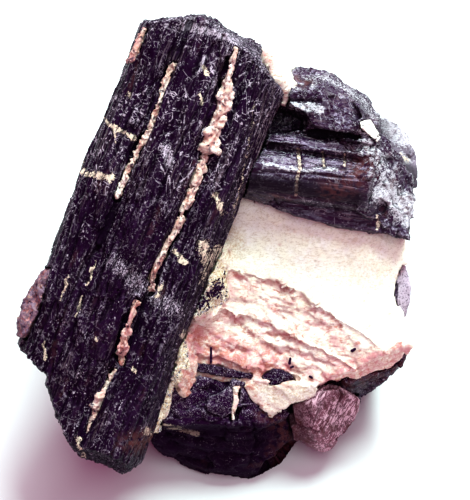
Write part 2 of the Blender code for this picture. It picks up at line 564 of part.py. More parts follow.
def lower_crystal():
    """The dark mass of tourmaline under the feldspar, which carries the specimen on its flat foot."""
    shelf = [
        (-13.0, -25.0, -2.6), (-4.0, -25.6, -2.6), (3.0, -27.0, -3.0), (8.0, -30.0, -6.0),
        (10.6, -33.0, -7.0), (5.0, -35.8, -5.0), (-2.0, -35.6, -3.6), (-9.0, -34.4, -3.0),
        (-15.0, -35.0, -2.8), (-16.4, -30.0, -3.0), (-14.0, -25.0, -12.0), (10.0, -30.0, -14.0),
        (9.0, -36.0, -16.0), (-6.0, -38.0, -14.0), (-16.0, -36.4, -12.0),
    ]
    front = [
        (-15.0, -34.0, -7.0), (-17.2, -38.6, -9.0), (-15.8, -40.8, -12.0), (-13.4, -41.6, -12.6),
        (-9.9, -43.0, -13.6), (-4.4, -44.2, -14.0), (0.0, -45.6, -14.6), (2.6, -46.6, -15.0),
        (5.0, -45.8, -15.0), (6.0, -43.4, -14.0), (9.4, -41.6, -13.0), (11.0, -39.4, -11.6),
        (10.6, -33.0, -9.0), (0.0, -37.0, -7.0),
        on_foot(-12.0, -25.0, -3.0), on_foot(-6.0, -30.0, -3.0), on_foot(3.0, -31.6, -3.0),
        on_foot(9.0, -28.0, -3.0), on_foot(14.0, -20.0, -3.0), on_foot(-14.0, -10.0, 18.0),
        on_foot(14.0, -10.0, 18.0),
    ]
    core = [
        (-26.0, -14.0, -9.0), (34.0, 1.0, -5.0), (34.8, -3.0, -4.4), (35.4, -7.0, -4.2),
        (35.4, -10.4, -4.4), (33.8, -13.0, -6.0), (34.3, -21.6, -9.0), (33.6, -23.4, -9.0),
        (31.6, -24.8, -10.0), (29.4, -25.2, -10.0), (26.6, -28.8, -13.0), (21.0, -27.4, -5.4),
        (18.0, -26.6, -4.6), (14.0, -29.0, -8.0), (-22.0, -32.0, -11.0), (-20.0, 14.0, -10.0),
        (32.0, 10.0, -10.0),
        on_foot(-20.0, -20.0, -3.0), on_foot(-24.0, 4.0, -3.0), on_foot(16.0, -22.0, -3.0),
        on_foot(27.0, -6.0, -3.0), on_foot(28.0, 12.0, -3.0), on_foot(-20.0, 14.0, -3.0),
        on_foot(-28.0, -10.0, 14.0), on_foot(33.0, -4.0, 16.0),
    ]
    mass = rough_block("lower_crystal", shelf, FACET, 0.4, 4.0, 31)
    combine(mass, rough_block("block", front, FACET, 0.6, 4.5, 32), "UNION")
    combine(mass, rough_block("block", core, FACET * 1.3, 0.7, 8.0, 33), "UNION")
    return mass


def flatten_foot(pieces):
    """Cuts the pieces that reach the ground off flat at the foot."""
    for piece in pieces:
        depth = 30.0
        corners = [on_foot(x, y, z) for x in (-70, 70) for y in (-70, 70) for z in (-depth, 0.0)]
        carve(piece, corners, Matrix())


def centre_on_foot():
    """Moves the bed so that the origin is under the middle of the whole box."""
    bpy.context.view_layer.update()
    places = [
        obj.matrix_world @ v.co
        for obj in bpy.context.scene.objects
        if obj.type == "MESH"
        for v in obj.data.vertices
    ]
    low = Vector(min(p[i] for p in places) for i in range(3))
    high = Vector(max(p[i] for p in places) for i in range(3))
    bed.location -= Vector(((low.x + high.x) / 2, (low.y + high.y) / 2, low.z))


# --- the specimen ---------------------------------------------------------------------------------

for old in list(bpy.data.objects):
    bpy.data.objects.remove(old)

stone = {
    "black": make_material("black_tourmaline", (0.020, 0.014, 0.026), 0.35),
    "grey": make_material("grey_tourmaline", (0.060, 0.055, 0.070), 0.45),
    "dark": make_material("dark_tourmaline", (0.018, 0.013, 0.022), 0.40),
    "brown": make_material("brown_tourmaline", (0.13, 0.075, 0.075), 0.55),
    "feldspar": make_material("feldspar", (0.86, 0.74, 0.62), 0.60),
    "white": make_material("white_feldspar", (0.90, 0.87, 0.80), 0.50),
    "red": make_material("red_feldspar", (0.42, 0.23, 0.22), 0.65),
    "vein": make_material("vein_feldspar", (0.72, 0.50, 0.42), 0.65),
}
bed = bpy.data.objects.new("bed", None)
bpy.context.scene.collection.objects.link(bed)
bed.rotation_euler = (math.radians(BED_TIP), 0.0, 0.0)
bed.location = (0.0, 0.0, BED_HEIGHT * MM)

main = main_crystal()
rear = rear_crystal()
side = side_crystal()
prong = prong_crystal()
lens = lens_crystal()
chip = chip_crystal()
white = white_chip()
crust = left_crust()
veins = [
    vein("long_vein", LONG_VEIN),
    vein("middle_vein", MIDDLE_VEIN),
    vein("foot_vein", FOOT_VEIN),
    vein("short_vein", SHORT_VEIN),
    vein("corner_vein", CORNER_VEIN),
]
matrix = feldspar_matrix()
lower = lower_crystal()

for neighbour in veins + [crust]:
    make_room(main, neighbour)
make_room(rear, main)
make_room(rear, white)
make_room(side, rear)
for neighbour in (main, rear, side, prong, lens, chip, white):
    make_room(matrix, neighbour)
for neighbour in (main, rear, side, prong, matrix, lens, chip):
    make_room(lower, neighbour)
flatten_foot((matrix, lower))
centre_on_foot()
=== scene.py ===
"""The finished look of a black tourmaline specimen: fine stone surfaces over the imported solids, and a studio.

Each piece of stone starts as a copy of its solid. The copy is remeshed finely, broken up by repeatable
noise (rods and grooves along a crystal, chips on a break, cleaved steps on feldspar), thinned again and
given a node material. Lengths are in millimetres unless a name says otherwise; MM turns them into metres.
"""
import math

import bmesh
import bpy
import numpy as np
from bpy.props import FloatProperty, FloatVectorProperty, PointerProperty
from mathutils import Matrix, Vector
from mathutils.bvhtree import BVHTree


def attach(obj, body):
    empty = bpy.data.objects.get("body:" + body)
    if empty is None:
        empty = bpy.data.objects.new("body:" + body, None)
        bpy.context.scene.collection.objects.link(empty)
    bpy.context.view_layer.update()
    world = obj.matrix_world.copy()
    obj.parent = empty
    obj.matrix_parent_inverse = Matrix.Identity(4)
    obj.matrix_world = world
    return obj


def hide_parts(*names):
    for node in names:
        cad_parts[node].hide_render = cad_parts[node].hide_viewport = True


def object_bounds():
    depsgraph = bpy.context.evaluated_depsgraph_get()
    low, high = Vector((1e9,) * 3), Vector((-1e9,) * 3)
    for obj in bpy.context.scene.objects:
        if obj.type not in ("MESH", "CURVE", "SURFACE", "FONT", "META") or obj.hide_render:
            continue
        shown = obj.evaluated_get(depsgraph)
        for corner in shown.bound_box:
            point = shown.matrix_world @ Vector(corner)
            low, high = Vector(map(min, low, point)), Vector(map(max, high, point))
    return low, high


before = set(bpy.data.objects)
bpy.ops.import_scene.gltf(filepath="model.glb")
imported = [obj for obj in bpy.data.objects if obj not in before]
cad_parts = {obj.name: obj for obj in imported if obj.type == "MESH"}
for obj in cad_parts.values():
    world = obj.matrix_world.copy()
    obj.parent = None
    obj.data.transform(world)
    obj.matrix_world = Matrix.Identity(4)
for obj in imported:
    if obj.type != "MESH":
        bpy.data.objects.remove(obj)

bl_info = {
    "name": "Tourmaline Specimen",
    "version": (1, 0, 0),
    "blender": (4, 5, 0),
    "location": "View3D > Sidebar > Specimen",
    "description": "Dresses the solids of a tourmaline and feldspar specimen as broken, striated stone",
    "category": "Object",
}

MM = 0.001
CAD_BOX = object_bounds()

# The bed frame lies in the specimen's face: X across it, Y up it and Z out of it.
BED_TIP = math.radians(30)
BED_PLACE = Vector((0.0033163, -0.0010933, 0.0380))
BED = Matrix.Translation(BED_PLACE) @ Matrix.Rotation(BED_TIP, 4, "X")
EYE = 800.0                # distance of the camera from the bed's origin, along the bed's Z
VIEW_HEIGHT = 100.0        # height of the bed plane that fills the view

MAIN_PLACE = (-17.0, 6.9, 0.0)
MAIN_LEAN = 22.0
REAR_PLACE = (13.0, 20.0, 0.0)
REAR_LEAN = 98.0


def standing(place, lean):
    """Row-frame matrix of a crystal's own frame: X across it, -Y to its front, Z along it, in metres."""
    turn = Matrix.Rotation(math.radians(-lean), 4, "Z") @ Matrix.Rotation(math.radians(-90), 4, "X")
    return BED @ Matrix.Translation(Vector(place) * MM) @ turn


MAIN_FRAME = standing(MAIN_PLACE, MAIN_LEAN)
REAR_FRAME = standing(REAR_PLACE, REAR_LEAN)
PRONG_FRAME = standing((18.0, -33.0, -8.0), 24.0)


# --- repeatable noise, for many points at once ---

DICE_SIDES = 4096
DICE = np.random.default_rng(7)
SLOPES = DICE.normal(size=(DICE_SIDES, 3))
SLOPES = (SLOPES / np.linalg.norm(SLOPES, axis=1)[:, None]).astype(np.float32)
SPOTS = DICE.random((DICE_SIDES, 3)).astype(np.float32)


def throw(cell, seed):
    """A number below DICE_SIDES for each whole-number place, the same each time."""
    key = cell[:, 0] * 73856093 ^ cell[:, 1] * 19349663 ^ cell[:, 2] * 83492791 ^ seed * 49979693
    key = (key ^ (key >> 13)) * 1540483477
    return (key ^ (key >> 17)) % DICE_SIDES


def wave(p, seed=0):
    """Smooth noise from about -1 to 1."""
    base = np.floor(p).astype(np.int64)
    part = (p - base).astype(np.float32)
    ease = part ** 3 * (part * (part * 6 - 15) + 10)
    total = np.zeros(len(p), np.float32)
    for corner in np.ndindex(2, 2, 2):
        slope = SLOPES[throw(base + corner, seed)]
        reach = ((part - np.array(corner, np.float32)) * slope).sum(1)
        total += np.prod(np.where(corner, ease, 1 - ease), axis=1) * reach
    return total * 1.5


def waves(p, octaves, seed=0):
    """Noise with finer noise on it, each octave half as strong as the last."""
    return sum(wave(p * 2 ** i, seed + i) / 2 ** i for i in range(octaves))


def cells(p, seed=0):
    """For each point: how far it is inside its cell, its cell's number and the vector from the centre."""
    base = np.floor(p).astype(np.int64)
    near = np.full(len(p), 99.0, np.float32)
    beyond = near.copy()
    number = np.zeros(len(p), np.int64)
    away = np.zeros((len(p), 3), np.float32)
    for step in np.ndindex(3, 3, 3):
        cell = base + np.array(step) - 1
        cast = throw(cell, seed)
        gap = (p - cell).astype(np.float32) - SPOTS[cast]
        far = (gap * gap).sum(1)
        closer = far < near
        beyond = np.where(closer, near, np.minimum(beyond, far))
        near = np.where(closer, far, near)
        number[closer] = cast[closer]
        away[closer] = gap[closer]
    return np.sqrt(beyond) - np.sqrt(near), number, away


def facets(p, seed=0):
    """Flat chips: each cell is a small plane with its own tilt. From about -1 to 1."""
    _, number, away = cells(p, seed)
    return (away * SLOPES[number]).sum(1) * 1.4 + (SPOTS[number, 0] - 0.5) * 0.6


def rods(p, seed=0):
    """Columns: each cell has its own height, with a groove at its edge. From about -1 to 0.5."""
    inside, number, _ = cells(p, seed)
    return SPOTS[number, 1] - 0.5 - 0.6 * np.exp(-((inside / 0.13) ** 2))


def step_up(value, low, high):
    """0 below low, 1 above high and smooth between."""
    share = np.clip((value - low) / (high - low), 0, 1)
    return share * share * (3 - 2 * share)


# --- places ---


def within(points, matrix):
    """Row-frame points, in metres, as millimetres in another frame."""
    turned = np.array(matrix.inverted())
    return ((points @ turned[:3, :3].T + turned[:3, 3]) / MM).astype(np.float32)


def seen(bed_points):
    """Where bed-frame points appear on the bed plane, looking along its Z from the camera."""
    return bed_points[:, :2] * (EYE / (EYE - bed_points[:, 2]))[:, None]


def frayed(xy, amount, seed):
    """The same places, pushed about a little so that what follows them has ragged edges."""
    flat = np.stack([xy[:, 0], xy[:, 1], np.zeros(len(xy))], 1)
    push = [waves(flat / 1.6, 2, seed), waves(flat / 1.6, 2, seed + 5)]
    return xy + amount * np.stack(push, 1)


def near_path(xy, path, reach):
    """1 on a path of (x, y) places, falling to 0 at reach from it."""
    best = np.full(len(xy), 1e9, np.float32)
    for start, end in zip(path, path[1:] or path):
        start, run = np.array(start), np.array(end) - np.array(start)
        along = np.clip((xy - start) @ run / max(run @ run, 1e-9), 0, 1)
        best = np.minimum(best, np.linalg.norm(xy - start - along[:, None] * run, axis=1))
    return 1 - step_up(best, 0, reach)


def fallen(xy, path, reach):
    """1 just below a path that runs from left to right, easing to 0 at reach from it. 0 above it."""
    best = np.full(len(xy), 1e9, np.float32)
    share = np.zeros(len(xy), np.float32)
    length = sum(math.dist(a, b) for a, b in zip(path, path[1:]))
    gone = 0.0
    for start, end in zip(path, path[1:]):
        start, run = np.array(start), np.array(end) - np.array(start)
        size = math.hypot(*run)
        along = np.clip((xy - start) @ run / size ** 2, 0, 1)
        gap = xy - start - along[:, None] * run
        far = np.linalg.norm(gap, axis=1)
        side = run[0] * gap[:, 1] - run[1] * gap[:, 0]
        ends = np.minimum(gone + along * size, length - gone - along * size)
        here = step_up(-side / size, 0.0, 0.25) * (1 - step_up(far, 0, reach)) * step_up(ends, 0, 1.0)
        closer = far < best
        best = np.where(closer, far, best)
        share = np.where(closer, here, share)
        gone += size
    return share


def brushed(xy, *strokes):
    """The strongest of several brushed paths, each given as its path, reach and strength."""
    return most(*(near_path(xy, path, reach) * strength for path, reach, strength in strokes))


def most(*shares):
    """The largest of several shares at each place."""
    return np.maximum.reduce(shares)


def below_path(xy, path):
    """How far each place is below a path that runs from left to right. Negative above it."""
    xs, ys = zip(*path)
    return np.interp(xy[:, 0], xs, ys) - xy[:, 1]


# --- fine copies of the solids ---


# The size each solid is remeshed at, in millimetres, and how many triangles it keeps.
FINE = {
    "main_crystal": (0.27, 195_000),
    "rear_crystal": (0.24, 150_000),
    "side_crystal": (0.24, 45_000),
    "white_chip": (0.14, 8_000),
    "lower_crystal": (0.32, 150_000),
    "lens_crystal": (0.14, 12_000),
    "chip_crystal": (0.14, 12_000),
    "prong_crystal": (0.2, 70_000),
    "left_crust": (0.2, 30_000),
    "feldspar_matrix": (0.29, 195_000),
}
FINE_VEIN = (0.13, 16_000)


class Stone:
    """A fine, workable copy of one solid."""

    def __init__(self, node, grow=0.0):
        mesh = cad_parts[node].data.copy()
        mesh.materials.clear()
        self.node = node
        self.obj = bpy.data.objects.new(node + "_stone", mesh)
        voxel, self.triangles = FINE.get(node, FINE_VEIN)
        bpy.context.scene.collection.objects.link(self.obj)
        if grow:
            self.weld()
            points, normals = self.read()
            self.write(points + normals * grow * MM)
        remesh = self.obj.modifiers.new("fine", "REMESH")
        remesh.mode = "VOXEL"
        remesh.voxel_size = voxel * MM * 1.0
        remesh.adaptivity = 0.0
        self.bake()

    def weld(self):
        bm = bmesh.new()
        bm.from_mesh(self.obj.data)
        bmesh.ops.remove_doubles(bm, verts=bm.verts, dist=1e-6)
        bm.to_mesh(self.obj.data)
        bm.free()

    def bake(self):
        """Applies the modifiers."""
        bpy.context.view_layer.update()
        graph = bpy.context.evaluated_depsgraph_get()
        made = bpy.data.meshes.new_from_object(self.obj.evaluated_get(graph))
        self.obj.modifiers.clear()
        old, self.obj.data = self.obj.data, made
        bpy.data.meshes.remove(old)

    def read(self):
        """Points in metres and their normals."""
        mesh = self.obj.data
        points = np.empty(len(mesh.vertices) * 3, np.float32)
        mesh.vertices.foreach_get("co", points)
        normals = np.empty(len(mesh.vertices) * 3, np.float32)
        mesh.vertex_normals.foreach_get("vector", normals)
        return points.reshape(-1, 3), normals.reshape(-1, 3)

    def write(self, points):
        """Moves the points, and keeps them inside the solids' box."""
        low, high = CAD_BOX
        points = np.clip(points, np.array(low), np.array(high))
        self.obj.data.vertices.foreach_set("co", points.astype(np.float32).ravel())
        self.obj.data.update()

    def shape(self, relief):
        """Moves each point along its normal by relief(points, normals), which is in millimetres."""
        points, normals = self.read()
        out = relief(points, normals)
        grounded = (points[:, 2] < 0.4 * MM) & (normals[:, 2] < -0.7)
        out[grounded] = 0
        self.write(points + normals * out[:, None] * MM)

    def cut(self, relief):
        """Shapes the stone, then merges its flattest places until its number of triangles is left."""
        self.shape(relief)
        count = sum(len(face.vertices) - 2 for face in self.obj.data.polygons)
        if count > self.triangles:
            decimate = self.obj.modifiers.new("thin", "DECIMATE")
            decimate.ratio = self.triangles / count
            self.bake()
        return self

    def survey(self, rounds=4):
        """Its points and normals, the points in the bed frame, where they are seen, and their hollows."""
        points, normals = self.read()
        bed = within(points, BED)
        return points, normals, bed, seen(bed), self.hollows(rounds)

    def hollows(self, rounds):
        """How deep each point lies under its neighbours, in millimetres. Negative on an edge."""
        mesh = self.obj.data
        ends = np.empty(len(mesh.edges) * 2, np.int32)
        mesh.edges.foreach_get("vertices", ends)
        one, other = ends.reshape(-1, 2).T
        count = len(mesh.vertices)
        near = np.bincount(one, minlength=count) + np.bincount(other, minlength=count)
        points, normals = self.read()
        smooth = points.astype(np.float64)
        for _ in range(rounds):
            total = np.empty_like(smooth)
            for i in range(3):
                pulled = np.bincount(one, smooth[other, i], count)
                total[:, i] = pulled + np.bincount(other, smooth[one, i], count)
            smooth = total / np.maximum(near, 1)[:, None]
        return ((smooth - points) * normals).sum(1) / MM

    def mark(self, name, values):
        """Keeps one number a point, from 0 to 1, for the material to read."""
        layer = self.obj.data.attributes.new(name, "FLOAT", "POINT")
        kept = np.broadcast_to(np.clip(values, 0, 1), len(self.obj.data.vertices))
        layer.data.foreach_set("value", kept.astype(np.float32))

    def finish(self, material, slot):
        """Smooth shading, its material, and its place on the specimen."""
        self.obj.data.polygons.foreach_set("use_smooth", np.ones(len(self.obj.data.polygons), bool))
        self.obj.data.materials.append(material)
        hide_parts(self.node)
        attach(self.obj, "root")
        return self.obj


# --- materials ---


class Finish:
    """One material's nodes, made by plain calls."""

    def __init__(self, name, frame_matrix):
        self.material = bpy.data.materials.new(name)
        self.material.use_nodes = True
        self.tree = self.material.node_tree
        self.shader = self.tree.nodes["Principled BSDF"]
        self.frame_matrix = frame_matrix
        self.place = self.add("TexCoord").outputs["Object"]

    def add(self, kind, inputs=None, **settings):
        node = self.tree.nodes.new("ShaderNode" + kind)
        for name, value in settings.items():
            setattr(node, name, value)
        for socket, value in (inputs or {}).items():
            self.put(node.inputs[socket], value)
        return node

    def put(self, socket, value):
        """Sets a socket, or links to it."""
        if isinstance(value, bpy.types.NodeSocket):
            self.tree.links.new(value, socket)
        else:
            socket.default_value = value

    def grain(self, across, front=None, along=None):
        """Places in the crystal's own frame, in grains of these sizes."""
        size = (across, front or across, along or across)
        place, turn, _ = self.frame_matrix.decompose()
        mapping = self.add("Mapping", {"Vector": self.place}, vector_type="TEXTURE")
        mapping.inputs["Location"].default_value = place
        mapping.inputs["Rotation"].default_value = turn.to_euler()
        mapping.inputs["Scale"].default_value = [s * MM for s in size]
        return mapping.outputs["Vector"]

    def noise(self, place, detail=3.0, rough=0.55, seed=0.0):
        node = self.add("TexNoise", noise_dimensions="4D")
        for name, value in (("Vector", place), ("W", seed), ("Scale", 1.0), ("Detail", detail),
                            ("Roughness", rough)):
            self.put(node.inputs[name], value)
        return node.outputs["Fac"]

    def hairs(self, place, width, seed):
        """Long thin curved lines: the places where a slow noise crosses its middle value."""
        gap = self.less(self.noise(place, 1.0, 0.5, seed), 0.5)
        gap = self.add("Math", {0: gap}, operation="ABSOLUTE").outputs[0]
        return self.ramp(gap, 0.0, width, 1.0, 0.0)

    def bent(self, place, amount, scale=1.0):
        """The same places, pushed about by noise."""
        node = self.add("TexNoise", {"Vector": place, "Scale": scale, "Detail": 2.0})
        push = self.add("VectorMath", {0: node.outputs["Color"], 1: (0.5, 0.5, 0.5)}, operation="SUBTRACT")
        push = self.add("VectorMath", {0: push.outputs[0], "Scale": amount}, operation="SCALE")
        return self.add("VectorMath", {0: place, 1: push.outputs[0]}, operation="ADD").outputs[0]

    def lines(self, turn, across, along, width, seed):
        """Nearly straight scratches, turned by so many degrees from the crystal's length."""
        place = self.add("VectorRotate", {"Vector": self.grain(1.0), "Angle": math.radians(turn)},
                         rotation_type="Y_AXIS").outputs[0]
        size = (1 / across, 1 / across, 1 / along)
        place = self.add("VectorMath", {0: place, 1: size}, operation="MULTIPLY").outputs[0]
        return self.hairs(self.bent(place, 0.25), width, seed)

    def edges(self, place):
        """Distance to the nearest edge between cells."""
        node = self.add("TexVoronoi", {"Vector": place, "Scale": 1.0}, feature="DISTANCE_TO_EDGE")
        return node.outputs["Distance"]

    def cell(self, place):
        """One random number for each cell."""
        node = self.add("TexVoronoi", {"Vector": place, "Scale": 1.0}, feature="F1")
        parts = self.add("SeparateColor", {0: node.outputs["Color"]})
        return parts.outputs[0]

    def ramp(self, value, low, high, start=0.0, end=1.0):
        node = self.add(
            "MapRange",
            {"Value": value, "From Min": low, "From Max": high, "To Min": start, "To Max": end},
            interpolation_type="SMOOTHSTEP",
        )
        return node.outputs["Result"]

    def sum(self, one, other):
        return self.add("Math", {0: one, 1: other}, operation="ADD").outputs[0]

    def less(self, one, other):
        return self.add("Math", {0: one, 1: other}, operation="SUBTRACT").outputs[0]

    def times(self, one, other):
        return self.add("Math", {0: one, 1: other}, operation="MULTIPLY").outputs[0]

    def most(self, one, other):
        return self.add("Math", {0: one, 1: other}, operation="MAXIMUM").outputs[0]

    def marked(self, name):
        return self.add("Attribute", attribute_name=name).outputs["Fac"]

    def mix(self, share, one, other):
        """A colour between two others, each a plain colour or another node's."""
        node = self.add("Mix", data_type="RGBA")
        self.put(node.inputs["Factor"], share)
        for socket, colour in ((6, one), (7, other)):
            self.put(node.inputs[socket], colour if isinstance(colour, bpy.types.NodeSocket) else tint(colour))
        return node.outputs[2]

    def done(self, colour, rough, relief=None, strength=0.5, depth=0.1, specular=0.5, sheen=(1.0, 1.0, 1.0)):
        """Joins colour, roughness and fine relief to the shader."""
        self.shader.inputs["Specular Tint"].default_value = tint(sheen)
        self.put(self.shader.inputs["Base Color"], colour)
        self.put(self.shader.inputs["Roughness"], rough)
        self.shader.inputs["Specular IOR Level"].default_value = specular
        if relief is not None:
            bump = self.add("Bump", {"Height": relief, "Strength": strength, "Distance": depth * MM})
            self.tree.links.new(bump.outputs["Normal"], self.shader.inputs["Normal"])
        return self.material


def tint(colour):
    return (*colour, 1.0)


def tourmaline_finish(name, frame_matrix, look, body, dust, flecks=1.0, gloss=0.07, shine=(1.0, 0.55, 1.0),
                      crumbly=0.5, strand=(0.15, 1.0)):
    """Black tourmaline: near-black violet, striped along the crystal, with pale scratches and crushed edges, painted
    glints, and painted shade where its low mark is set.
    """
    f = Finish(name, frame_matrix)
    shade = f.noise(f.grain(2.0, 2.0, 10.0), 4.0)
    colour = f.mix(f.ramp(shade, 0.38, 0.7), body, [c * 2.0 + 0.002 for c in body])
    brown = f.ramp(f.noise(f.bent(f.grain(0.34, 0.34, 5.0), 0.6), 3.0), 0.50, 0.60)
    colour = f.mix(f.times(f.marked("streak"), brown), colour, look.streak)
    # Scratches: long curved hairs that cross the crystal, and short dashes along it.
    patches = f.ramp(f.noise(f.grain(2.2), 4.0, 0.65, 3.0), 0.51, 0.56)
    others = f.ramp(f.noise(f.grain(2.6), 4.0, 0.65, 4.0), 0.52, 0.57)
    scratch = f.times(f.most(f.lines(62, 2.4, 14.0, 0.013, 11.0), f.lines(-48, 2.8, 14.0, 0.011, 12.0)), patches)
    crossing = f.most(f.lines(100, 3.0, 14.0, 0.010, 13.0), f.lines(24, 2.2, 14.0, 0.013, 15.0))
    scratch = f.most(scratch, f.times(crossing, others))
    scratch = f.most(scratch, f.times(f.hairs(f.bent(f.grain(3.0), 0.8), 0.009, 16.0), patches))
    scratch = f.times(scratch, f.marked("hair"))
    dashes = f.ramp(f.noise(f.grain(0.17, 0.17, 1.5), 2.0, 0.5, 5.0), 0.63, 0.72)
    dashes = f.times(dashes, f.ramp(f.noise(f.grain(0.9, 0.9, 4.0), 3.0, 0.6, 6.0), 0.48, 0.62))
    # Painted glints: tiny pale points that stand in for sparkle of light off the crystal.
    painted_glints = f.ramp(f.cell(f.grain(0.17, 0.17, 0.3)), 0.90, 0.95)
    painted_glints = f.times(painted_glints, f.ramp(f.noise(f.grain(1.6, 1.6, 3.0), 4.0, 0.6, 7.0), 0.50, 0.64))
    pale = f.times(f.most(scratch, f.most(f.times(dashes, 0.45), f.times(painted_glints, 0.75))), flecks)
    crushed = f.times(f.marked("edge"), f.ramp(f.noise(f.grain(0.35, 0.35, 0.6), 3.0, 0.7, 8.0), 0.52, 0.60))
    hatch = f.noise(f.bent(f.grain(strand[0], strand[0], strand[1]), 0.6), 3.0, 0.7, 9.0)
    crumbs = f.noise(f.grain(0.4), 5.0, 0.78, 10.0)
    worn = f.sum(f.times(hatch, 1 - crumbly), f.times(crumbs, crumbly))
    bar = f.ramp(f.marked("dust"), 0.0, 1.0, 0.68, 0.45)
    powder = f.ramp(f.less(worn, bar), 0.0, 0.03)
    pale = f.most(f.most(pale, f.times(crushed, 0.6)), f.times(powder, 0.85))
    colour = f.mix(pale, colour, dust)
    # Cream crumbs of feldspar left on the crystal.
    bar = f.ramp(f.marked("cream"), 0.0, 1.0, 0.70, 0.42)
    left = f.ramp(f.less(crumbs, bar), 0.0, 0.03)
    tone = f.ramp(f.noise(f.grain(0.6), 3.0, 0.6, 14.0), 0.35, 0.65)
    colour = f.mix(left, colour, f.mix(tone, look.deposit, look.vein))
    # Painted shade: where the low mark is set (hollows, undersides, faces turned from the light) the colour falls to
    # under half the body colour.
    colour = f.mix(f.times(f.marked("low"), 0.85), colour, [c * 0.45 for c in body])
    colour = f.mix(f.times(f.marked("rust"), f.ramp(f.noise(f.grain(1.1), 3.0), 0.38, 0.58)), colour,
                   look.rust)
    rough = f.ramp(f.sum(f.noise(f.grain(0.5, 0.5, 2.2), 3.0), f.times(f.most(pale, left), 0.5)), 0.35, 0.95,
                   0.16, 0.72)
    rough = f.most(rough, f.times(f.marked("low"), 0.9))
    relief = f.sum(f.noise(f.grain(0.28, 0.28, 3.2), 4.0), f.times(f.noise(f.grain(0.3), 5.0, 0.7), 0.2))
    relief = f.sum(relief, f.times(f.most(pale, left), 0.3))
    return f.done(colour, rough, relief, 0.7, 0.12, gloss, shine)


def feldspar_finish(name, look, body, coarse=1.0):
    """Feldspar: cream and white grains with rosy stains, ochre flecks and dark hair cracks, and painted rosy shade
    in its hollows and ledges.
    """
    f = Finish(name, BED)
    blend = f.noise(f.grain(3.5 * coarse), 5.0, 0.65)
    clean = look.white if body[2] > 0.3 else [c * 1.6 for c in body]
    colour = f.mix(f.ramp(blend, 0.38, 0.66), body, clean)
    sand = f.noise(f.grain(0.9 * coarse, 0.45 * coarse, 0.45 * coarse), 5.0, 0.95, 2.0)
    grain = [c * share for c, share in zip(body, (0.62, 0.56, 0.50))]
    colour = f.mix(f.ramp(sand, 0.50, 0.58, 0.0, 0.75), colour, grain)
    ochre = f.times(f.marked("ochre"), f.ramp(f.noise(f.grain(0.45), 4.0, 0.7), 0.44, 0.62))
    colour = f.mix(ochre, colour, look.ochre)
    rosy = f.times(f.marked("pink"), f.ramp(f.noise(f.grain(1.6), 5.0, 0.7), 0.34, 0.62, 0.15, 1.0))
    colour = f.mix(rosy, colour, look.pink)
    hot = f.times(f.marked("red"), f.ramp(f.noise(f.grain(0.9), 5.0, 0.75), 0.36, 0.6))
    colour = f.mix(hot, colour, look.red)
    stains = f.hairs(f.bent(f.grain(3.4 * coarse, 1.2 * coarse, 3.0 * coarse), 0.9), 0.05, 9.0)
    stains = f.times(stains, f.ramp(f.noise(f.grain(1.0), 4.0, 0.75, 10.0), 0.44, 0.54))
    colour = f.mix(f.times(stains, f.ramp(f.marked("pink"), 0.03, 0.35, 0.0, 0.85)), colour, look.red)
    cracks = f.hairs(f.bent(f.grain(6.0, 2.2, 6.0), 0.6), 0.012, 4.0)
    cracks = f.times(cracks, f.ramp(f.noise(f.grain(3.0), 3.0, 0.6, 5.0), 0.48, 0.6))
    colour = f.mix(f.times(cracks, 0.4), colour, look.ochre)
    # Painted shade: the low mark tints hollows with the crack colour.
    colour = f.mix(f.times(f.marked("low"), 0.8), colour, look.crack)
    # Crust: yellow, white and black grains side by side.
    grain = f.noise(f.grain(0.55), 4.0, 0.7, 8.0)
    dirty = f.ramp(f.noise(f.grain(2.2), 3.0, 0.6, 6.0), 0.35, 0.62, 0.38, 0.54)
    dirty = f.less(dirty, f.times(f.marked("ochre"), 0.13))
    black = f.ramp(f.less(grain, dirty), 0.0, 0.03, 1.0, 0.0)
    gravel = f.mix(f.ramp(f.noise(f.grain(0.4), 3.0, 0.6, 7.0), 0.42, 0.6), look.ochre, body)
    silver = f.mix(f.ramp(f.noise(f.grain(0.3, 0.3, 0.9), 3.0, 0.6, 9.0), 0.50, 0.56), look.black,
                   look.grey_dust)
    gravel = f.mix(black, gravel, silver)
    colour = f.mix(f.marked("crust"), colour, gravel)
    colour = f.mix(f.times(f.marked("dark"), f.ramp(f.noise(f.grain(0.4), 3.0), 0.42, 0.52)), colour,
                   [c * 3 for c in look.black])
    rough = f.ramp(f.noise(f.grain(0.8), 3.0), 0.3, 0.7, 0.45, 0.8)
    relief = f.sum(f.noise(f.grain(0.35), 5.0, 0.75), f.times(sand, 0.6))
    return f.done(colour, rough, relief, 0.7, 0.14, 0.35)


# --- the main crystal ---

